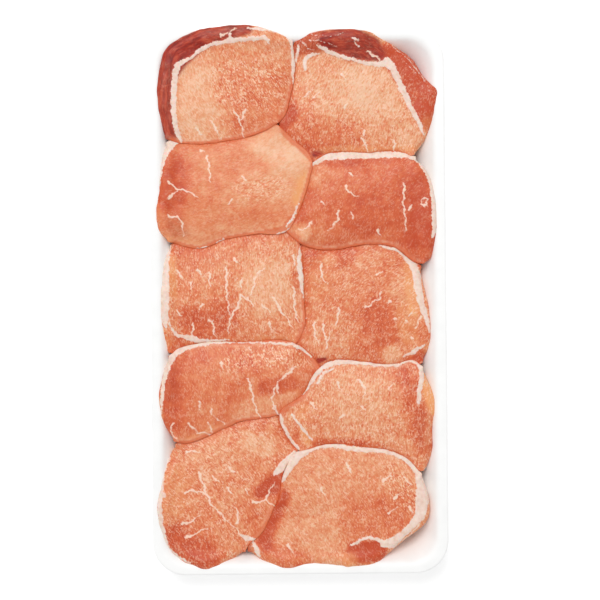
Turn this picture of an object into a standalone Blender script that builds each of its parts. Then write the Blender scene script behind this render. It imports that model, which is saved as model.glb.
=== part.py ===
"""Family pack of ten boneless pork loin chops lying in two columns in a white foam tray.

The chops overlap like tiles: each is thinned under its neighbour's edge and drapes over what it lies on.
X runs across the tray, Y along it and Z up, and the origin is the middle of the tray's foot.
Lengths in the constants and in the height functions are millimetres.
"""

import math

import bmesh
import bpy
import numpy as np

MM = 0.001

# Tray: a rounded rectangle that narrows from its flat rim down a sloping wall to the floor.
TRAY_WIDTH = 203.2
TRAY_LENGTH = 374.7
TRAY_HEIGHT = 26.0
TRAY_WALL = 3.5
RIM_WIDTH = 5.6
RIM_SHOULDER = 3.0
RIM_DROP = 2.4
WALL_RUN = 13.0
FLOOR_BEND_RUNS = (2.0, 4.8)
FLOOR_BEND_RISES = (2.2, 0.5)
CORNER_RADIUS = 22.5
CORNER_TIGHTENING = 0.45
CORNER_STEPS = 7
RIM_EDGE_ROUND = 1.3
RIM_EDGE_ANGLE = math.radians(60)
SHARP_ANGLE = math.radians(50)
INSET_HALVINGS = 24

# Chops
THICKNESS_THIN = 4.0
GAP = 0.9
CLEARANCE = 1.8
TRAY_CLEARANCE = 1.8
EDGE = 1.2
CROWN = 2.2
PRESS = 2.4
PRESS_REACH = 16.0
TUCK_SLOPE = 0.95
DRAPE_REACH = 18.0
DRAPE_SLOPE = 0.9
TOP_ROUND = 6.5
BOTTOM_ROUND = 5.0
DRAPE_FALLOFF = 0.85
DRAPE_PASSES = 6
SETTLING_PASSES = 4
LAYERS = 3
SPLINE_STEPS = 14

# Mesh of a chop: a sphere's meridians and rings, laid out by depth from the outline.
MERIDIANS = 40
CORNER_WEIGHT = 7.0
RING_DEPTHS = (1.2, 4.0, 9.0, 17.0, 27.0)
RINGS = 2 * (len(RING_DEPTHS) + 1)

# Each chop: height of its upper face, that face's rise per 100 mm in X and in Y, outline anticlockwise.
CHOPS = {
    "chop_left_1": (26.0, (0.0, 2.0), [
        (-74, 108.8), (-48, 110.8), (-20, 118), (-9, 126), (-3, 144), (-0.5, 167), (-3.5, 179.5),
        (-16, 185.3), (-43, 187), (-72, 185), (-90, 175), (-95.5, 156), (-95, 127), (-89, 112)]),
    "chop_right_1": (24.6, (0.0, 2.0), [
        (-12, 146), (-13, 122), (-4, 104), (18, 93.5), (52, 93.5), (78, 98), (90, 113), (95.3, 134),
        (97.5, 145), (90, 152), (81, 167), (64, 178.3), (51, 185), (38, 187), (20, 186.2), (3, 182),
        (-7.5, 165)]),
    "chop_left_2": (25.4, (0.0, 0.0), [
        (-66, 36.8), (-50, 43), (-28, 46.7), (-8, 50.5), (8, 81), (11.3, 98), (-2, 111.5), (-15, 124),
        (-46, 120.5), (-80, 118), (-91, 109), (-95.3, 84), (-97, 58), (-94, 46.5), (-86, 41)]),
    "chop_right_2": (26.4, (0.0, 0.0), [
        (-11, 52), (2, 39), (21, 34.8), (50, 38.8), (70, 35.2), (80, 25), (90, 27), (95.3, 42), (95.4, 68),
        (89, 91), (75, 102.2), (48, 102.6), (18, 101.4), (5, 91), (-4, 72)]),
    "chop_left_3": (23.6, (0.0, 0.0), [
        (-72, -37.5), (-36, -37.5), (-4, -33), (5, -16), (4.6, -2), (3.6, 20), (1, 43), (-10, 52),
        (-44, 53.5), (-78, 49), (-90, 36), (-93.8, 8), (-94.3, -22), (-90, -34)]),
    "chop_right_3": (23.0, (0.0, 0.0), [
        (-5, 14), (-3.5, -22), (5, -45), (28, -50.5), (62, -51), (82, -46), (91, -31), (91.8, -14), (88, 6),
        (83, 27), (70, 38.5), (40, 46), (6, 45), (-4, 34)]),
    "chop_left_4": (25.6, (0.0, 0.0), [
        (-64, -93), (-44, -83.8), (-14, -78.5), (4, -72), (17, -57), (14, -43), (-2, -28.6), (-40, -27.4),
        (-68, -27.5), (-86, -33), (-93.7, -46), (-97, -71.5), (-93, -86), (-82, -97.8)]),
    "chop_right_4": (25.2, (0.0, 0.0), [
        (-15, -76.5), (-9.5, -93), (0, -104.6), (20, -107.5), (52, -109), (74, -116.5), (86, -117.5),
        (92.3, -101), (91.5, -87), (94.5, -74.5), (88, -52.5), (80, -40.4), (66, -43.6), (46, -42),
        (22, -40.4), (11, -47.5), (2, -64.5)]),
    "chop_left_5": (24.2, (0.0, 0.0), [
        (-29.5, -163), (-17.2, -141), (-14, -131), (-13, -119), (-5.4, -107.2), (0, -92), (-12, -74),
        (-40, -75), (-72, -86), (-88, -101), (-94.8, -117), (-98.6, -140), (-94, -165), (-82, -178.3),
        (-66, -182.7), (-52, -179.5), (-43.5, -171)]),
    "chop_right_5": (25.4, (0.0, 0.0), [
        (-12, -120), (-14.6, -138), (-25, -148), (-36, -167), (-30, -177), (-12, -182.4), (10, -180.8),
        (36, -183), (58, -175.5), (76, -163), (89.3, -151), (89, -134), (80, -114), (62, -102.3),
        (44, -100.6), (24, -97.6), (9, -100), (-4, -107)]),
}

# What lies on what: the first of each pair is over the second, all along or only where Y is below a limit.
LIMIT_BLEND = 8.0
OVERLAPS = [
    ("chop_left_1", "chop_left_2"), ("chop_left_1", "chop_right_1"), ("chop_left_2", "chop_right_1"),
    ("chop_left_2", "chop_right_2"), ("chop_left_2", "chop_left_3"), ("chop_right_2", "chop_right_1"),
    ("chop_right_2", "chop_right_3"), ("chop_right_2", "chop_left_3"), ("chop_left_3", "chop_right_3"),
    ("chop_left_4", "chop_left_3"), ("chop_left_4", "chop_right_3"), ("chop_left_4", "chop_left_5"),
    ("chop_right_4", "chop_right_3"), ("chop_right_4", "chop_left_4"), ("chop_right_4", "chop_left_5"),
    ("chop_right_5", "chop_right_4"), ("chop_left_5", "chop_right_5", -138.0),
]


# Outlines --------------------------------------------------------------------------------------------------

def closed_spline(points, steps=SPLINE_STEPS):
    """Smooth closed curve through the points, as an array of samples."""
    knots = np.array(points, dtype=float)
    following = np.roll(knots, -1, axis=0)
    length = np.linalg.norm(following - knots, axis=1)[:, None]
    slope = (following - knots) / length
    length_in = np.roll(length, 1, axis=0)
    tangent = (np.roll(slope, 1, axis=0) * length + slope * length_in) / (length + length_in)
    tangent_out = np.roll(tangent, -1, axis=0)
    samples = []
    for t in np.linspace(0.0, 1.0, steps, endpoint=False):
        start = (2 * t ** 3 - 3 * t ** 2 + 1) * knots
        leave = (t ** 3 - 2 * t ** 2 + t) * length * tangent
        end = (3 * t ** 2 - 2 * t ** 3) * following
        arrive = (t ** 3 - t ** 2) * length * tangent_out
        samples.append(start + leave + end + arrive)
    return np.stack(samples, axis=1).reshape(-1, 2)


def spread_by_curvature(curve, count):
    """Indices of count samples round a closed curve, closer together where it bends."""
    step = np.roll(curve, -1, axis=0) - curve
    heading = np.arctan2(step[:, 1], step[:, 0])
    turn = np.abs((np.roll(heading, -1) - heading + math.pi) % math.tau - math.pi)
    weight = np.linalg.norm(step, axis=1) + CORNER_WEIGHT * turn
    reached = np.concatenate([[0.0], np.cumsum(weight)])
    wanted = np.arange(count) / count * reached[-1]
    return np.searchsorted(reached, wanted, side="right") - 1


def signed_distance(curve, places):
    """Distance from each place to the closed curve, negative inside, and the index of the nearest sample."""
    edge = np.roll(curve, -1, axis=0) - curve
    offset = places[:, None, :] - curve[None, :, :]
    along = np.clip((offset * edge).sum(axis=2) / (edge * edge).sum(axis=1), 0.0, 1.0)
    distance = np.linalg.norm(offset - along[:, :, None] * edge, axis=2)
    nearest = distance.argmin(axis=1)
    below = offset[:, :, 1] < 0
    crosses = below != np.roll(below, -1, axis=1)
    rise = np.where(edge[:, 1] == 0, 1.0, edge[:, 1])
    left_of_edge = offset[:, :, 0] < offset[:, :, 1] / rise * edge[:, 0]
    inside = (crosses & left_of_edge).sum(axis=1) % 2 == 1
    distance = distance.min(axis=1)
    return np.where(inside, -distance, distance), nearest


def smooth_round(values):
    """Values round a closed outline, never lowered, with each high place sloping off into those beside it."""
    smooth = values.copy()
    for _ in range(DRAPE_PASSES):
        two_away = np.maximum(np.roll(smooth, 2), np.roll(smooth, -2))
        beside = 0.5 * (np.roll(smooth, 1) + np.roll(smooth, -1))
        smooth = np.maximum(values, 0.5 * (smooth + beside))
        smooth = np.maximum(smooth, DRAPE_FALLOFF * two_away)
    return smooth


def bulge(ratio):
    """Quarter-circle rise from 0 at an edge to 1 at the rounding's full depth."""
    return np.sqrt(1.0 - (1.0 - np.clip(ratio, 0.0, 1.0)) ** 2)


# Tray ------------------------------------------------------------------------------------------------------

def tray_profile():
    """Upper surface of the tray from its outer edge inwards, as (inset, height) pairs."""
    floor = TRAY_WALL
    wall_top = RIM_WIDTH + RIM_SHOULDER
    wall_foot = wall_top + WALL_RUN
    return [
        (0.0, TRAY_HEIGHT),
        (RIM_WIDTH, TRAY_HEIGHT),
        (wall_top, TRAY_HEIGHT - RIM_DROP),
        (wall_foot, floor + FLOOR_BEND_RISES[0]),
        (wall_foot + FLOOR_BEND_RUNS[0], floor + FLOOR_BEND_RISES[1]),
        (wall_foot + FLOOR_BEND_RUNS[1], floor),
    ]


def corner_radius(inset):
    """Radius of the plan's corners, which tightens with the inset down to a limit."""
    return np.maximum(CORNER_RADIUS - CORNER_TIGHTENING * inset, CORNER_TIGHTENING * CORNER_RADIUS)


def rounded_rectangle(inset):
    """Points round the tray at an inset from its outer edge, anticlockwise."""
    radius = float(corner_radius(inset))
    reach_x = 0.5 * TRAY_WIDTH - inset - radius
    reach_y = 0.5 * TRAY_LENGTH - inset - radius
    points = []
    for turn, (sign_x, sign_y) in enumerate([(1, 1), (-1, 1), (-1, -1), (1, -1)]):
        for step in range(CORNER_STEPS + 1):
            angle = 0.5 * math.pi * (turn + step / CORNER_STEPS)
            x = sign_x * reach_x + radius * math.cos(angle)
            y = sign_y * reach_y + radius * math.sin(angle)
            points.append((x, y))
    return points


def tray_surface(places):
    """Height that clears the tray at each place: its upper surface, moved inwards by the clearance.

    Each place's inset from the tray's outer edge is found by halving the range that it lies in.
    """
    low = np.zeros(len(places))
    high = np.full(len(places), 0.5 * TRAY_WIDTH)
    for _ in range(INSET_HALVINGS):
        inset = 0.5 * (low + high)
        radius = corner_radius(inset)
        across = np.abs(places[:, 0]) - (0.5 * TRAY_WIDTH - inset - radius)
        along = np.abs(places[:, 1]) - (0.5 * TRAY_LENGTH - inset - radius)
        past_corner = np.hypot(np.maximum(across, 0), np.maximum(along, 0))
        beyond = past_corner + np.minimum(np.maximum(across, along), 0) > radius
        high = np.where(beyond, inset, high)
        low = np.where(beyond, low, inset)
    insets, heights = zip(*tray_profile())
    return np.interp(0.5 * (low + high) - TRAY_CLEARANCE, insets, heights)


def build_tray(collection):
    """Open upper surface with Solidify for the foam's thickness and Bevel on the rim's outer edge."""
    bm = bmesh.new()
    rings = []
    for inset, height in tray_profile():
        ring = [bm.verts.new((x * MM, y * MM, height * MM)) for x, y in rounded_rectangle(inset)]
        rings.append(ring)
    for outer, inner in zip(rings, rings[1:]):
        for i in range(len(outer)):
            j = (i + 1) % len(outer)
            bm.faces.new((outer[i], outer[j], inner[j], inner[i]))
    bm.faces.new(rings[-1])
    tray = add_object("tray", bm, foam_material(), collection)
    shell = tray.modifiers.new("foam thickness", "SOLIDIFY")
    shell.thickness = TRAY_WALL * MM
    shell.offset = -1.0
    shell.use_even_offset = True
    rim = tray.modifiers.new("rim edge", "BEVEL")
    rim.width = RIM_EDGE_ROUND * MM
    rim.segments = 2
    rim.limit_method = "ANGLE"
    rim.angle_limit = RIM_EDGE_ANGLE
    return tray


# Chops -----------------------------------------------------------------------------------------------------

class Chop:
    """One chop's outline and the heights that settle from what it lies on and what lies on it."""

    def __init__(self, level, slope, points):
        self.curve = closed_spline(points)
        self.centre = self.curve.mean(axis=0)
        self.level = level
        self.slope = np.array(slope) / 100.0
        self.above = []
        self.beneath = []
        self.rim = np.full(len(self.curve), level - CROWN)
        self.drape = np.zeros(len(self.curve))

    def support(self, places, layers=LAYERS):
        """Height of what the chop rests on: the tray, and the chops beneath."""
        height = tray_surface(places)
        if layers > 0:
            for chop, limit in self.beneath:
                cover = chop.cover(places, layers - 1)
                height = np.where(places[:, 1] < limit, np.maximum(height, cover), height)
        return height

    def base(self, places, layers=LAYERS):
        """Upper face before draping and edge rounding: pressed beside and tucked under its neighbours."""
        pressed = np.zeros(len(places))
        for chop, limit in self.above:
            distance, _ = signed_distance(chop.curve, places)
            beside = PRESS * np.exp(-(np.maximum(distance, 0.0) / PRESS_REACH) ** 2)
            weight = beside + TUCK_SLOPE * np.maximum(-distance, 0.0)
            within = np.clip((limit - places[:, 1]) / LIMIT_BLEND, 0.0, 1.0)
            pressed = np.maximum(pressed, weight * within)
        face = self.level + (places - self.centre) @ self.slope - pressed
        return np.maximum(face, self.support(places, layers) + GAP + THICKNESS_THIN)

    def upper(self, places, widen=0.0, layers=LAYERS):
        """Upper surface with its rounded edge, beyond which it ramps down; widen moves the edge outwards."""
        distance, nearest = signed_distance(self.curve, places)
        depth = widen - distance
        draped = self.drape[nearest] * np.exp(-(np.maximum(depth, 0.0) / DRAPE_REACH) ** 2)
        flat = self.base(places, layers) + draped
        rim = self.rim[nearest]
        rounded = rim + (flat - rim) * bulge(depth / TOP_ROUND)
        return np.where(depth > 0.0, rounded, rim + DRAPE_SLOPE * depth)

    def cover(self, places, layers):
        """What a chop on top has to clear."""
        return self.upper(places, CLEARANCE, layers)

    def settle(self):
        """Set the outline's height from its support, and lift the face where that height needs it."""
        support = self.support(self.curve)
        base = self.base(self.curve)
        self.rim = np.maximum(0.5 * (support + base), support + GAP + EDGE)
        self.drape = smooth_round(np.maximum(self.rim + CROWN - base, 0.0))

    def lower(self, places, rim):
        """Underside: on its support, curving up to the rim at the outline."""
        distance, _ = signed_distance(self.curve, places)
        rest = self.support(places) + GAP
        return np.maximum(rest, rim - (rim - rest) * bulge(-distance / BOTTOM_ROUND))


def settled_chops():
    """The ten chops, laid over each other and settled."""
    chops = {name: Chop(*shape) for name, shape in CHOPS.items()}
    for over, under, *limit in OVERLAPS:
        below = limit[0] if limit else math.inf
        chops[over].beneath.append((chops[under], below))
        chops[under].above.append((chops[over], below))
    for _ in range(SETTLING_PASSES):
        for chop in chops.values():
            chop.settle()
    return chops


def place_on_meridians(chop, lon, ring):
    """Plan position of a sphere vertex: its meridian's outline sample moved inwards by its ring's depth."""
    samples = spread_by_curvature(chop.curve, MERIDIANS)
    index = samples[np.round(lon / math.tau * MERIDIANS).astype(int) % MERIDIANS]
    rings_from_equator = np.abs(ring - RINGS // 2)
    depth = np.array((0.0,) + RING_DEPTHS + (math.inf,))[rings_from_equator]
    inward = chop.centre - chop.curve[index]
    reach = np.linalg.norm(inward, axis=1)
    share = np.minimum(depth / reach, 1.0)
    return chop.curve[index] + inward * share[:, None], index


def build_chop(name, chop, material, collection):
    """A reshaped sphere: longitude follows the outline, latitude the upper face, edge and underside."""
    bm = bmesh.new()
    bmesh.ops.create_uvsphere(bm, u_segments=MERIDIANS, v_segments=RINGS, radius=1.0)
    sphere = np.array([vert.co for vert in bm.verts])
    lon = np.arctan2(sphere[:, 1], sphere[:, 0]) % math.tau
    ring = np.round(np.arccos(np.clip(sphere[:, 2], -1.0, 1.0)) / math.pi * RINGS).astype(int)
    places, index = place_on_meridians(chop, lon, ring)
    rim = chop.rim[index]
    height = np.where(ring < RINGS // 2, chop.upper(places), chop.lower(places, rim))
    height = np.where(ring == RINGS // 2, rim, height)
    for vert, place, z in zip(bm.verts, places, height):
        vert.co = (place[0] * MM, place[1] * MM, z * MM)
    return add_object(name, bm, material, collection)


# Materials and objects -------------------------------------------------------------------------------------

def principled(name, colour, roughness):
    material = bpy.data.materials.new(name)
    material.use_nodes = True
    shader = material.node_tree.nodes["Principled BSDF"]
    shader.inputs["Base Color"].default_value = (*colour, 1.0)
    shader.inputs["Roughness"].default_value = roughness
    shader.inputs["Metallic"].default_value = 0.0
    return material


def foam_material():
    return principled("white polystyrene foam", (0.86, 0.86, 0.85), 0.6)


def meat_material():
    return principled("raw pork loin", (0.76, 0.28, 0.17), 0.35)


def add_object(name, bm, material, collection):
    mesh = bpy.data.meshes.new(name)
    bm.to_mesh(mesh)
    bm.free()
    mesh.materials.append(material)
    mesh.shade_smooth()
    mesh.set_sharp_from_angle(angle=SHARP_ANGLE)
    obj = bpy.data.objects.new(name, mesh)
    collection.objects.link(obj)
    return obj


def main():
    for obj in list(bpy.data.objects):
        bpy.data.objects.remove(obj)
    collection = bpy.data.collections.new("meat tray pack")
    bpy.context.scene.collection.children.link(collection)
    build_tray(collection)
    meat = meat_material()
    for name, chop in settled_chops().items():
        build_chop(name, chop, meat, collection)


main()
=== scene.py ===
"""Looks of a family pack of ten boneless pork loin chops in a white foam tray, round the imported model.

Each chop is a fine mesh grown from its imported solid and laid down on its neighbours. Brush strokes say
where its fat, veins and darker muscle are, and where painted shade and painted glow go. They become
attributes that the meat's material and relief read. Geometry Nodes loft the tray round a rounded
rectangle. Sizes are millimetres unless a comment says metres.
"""

import functools
import math

import bmesh
import bpy
import numpy as np
from bpy.props import FloatProperty, FloatVectorProperty, IntProperty, PointerProperty
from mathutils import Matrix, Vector
from mathutils.bvhtree import BVHTree


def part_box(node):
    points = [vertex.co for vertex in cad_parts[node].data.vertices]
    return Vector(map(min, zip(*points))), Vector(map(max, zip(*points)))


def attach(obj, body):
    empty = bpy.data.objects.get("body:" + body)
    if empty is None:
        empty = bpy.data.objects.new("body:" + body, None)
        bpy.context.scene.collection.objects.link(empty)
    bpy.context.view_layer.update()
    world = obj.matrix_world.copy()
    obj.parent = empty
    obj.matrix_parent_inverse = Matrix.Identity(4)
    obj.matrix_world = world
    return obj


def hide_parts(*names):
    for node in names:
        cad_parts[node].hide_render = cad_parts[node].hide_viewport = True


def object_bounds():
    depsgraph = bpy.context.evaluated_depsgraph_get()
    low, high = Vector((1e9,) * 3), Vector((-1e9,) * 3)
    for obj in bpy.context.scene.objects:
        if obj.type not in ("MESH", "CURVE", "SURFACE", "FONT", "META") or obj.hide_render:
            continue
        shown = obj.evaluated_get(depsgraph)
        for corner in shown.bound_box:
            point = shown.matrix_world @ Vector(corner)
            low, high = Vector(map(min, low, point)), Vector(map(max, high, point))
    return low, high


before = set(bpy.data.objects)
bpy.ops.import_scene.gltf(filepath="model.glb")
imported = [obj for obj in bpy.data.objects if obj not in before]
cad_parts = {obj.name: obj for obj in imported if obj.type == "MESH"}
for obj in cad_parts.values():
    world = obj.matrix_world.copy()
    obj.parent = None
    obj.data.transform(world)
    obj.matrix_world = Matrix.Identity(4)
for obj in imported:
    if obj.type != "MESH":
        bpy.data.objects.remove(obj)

bl_info = {
    "name": "Pork chop tray pack",
    "version": (1, 0, 0),
    "blender": (4, 5, 0),
    "location": "View3D > Sidebar > Meat pack",
    "description": "Builds ten pork loin chops, their foam tray and a plain studio round the packed model",
    "category": "Object",
}

MM = 0.001
BODY = "root"
CAD_LOW, CAD_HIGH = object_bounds()
TRAY_LOW, TRAY_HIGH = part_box("tray")


# What each chop looks like ----------------------------------------------------------------------------
# Places are millimetres in the frame. A brush stroke is a list of (x, y, half-width) points. A shade is
# (amount, softness, stroke): the amount is added inside the stroke and fades out over the softness.
# - grain: the muscle fibres' direction in degrees, and how much they bend
# - redness: from 0, pale, to 1, red; the shades change it
# - marbling: strength of the small flecks of fat; the mottled shades change it
# - nudges: (x, y, softness, shift along x, shift along y), each a bend of the outline near a place
# - fat: strokes; veins: lists of (x, y) points
# - maroon: shades of dark cap muscle, and painted shade in the gaps where chops meet
# - amber: shades of yellow fat, and a painted glow along thin edges that light shows through

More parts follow.
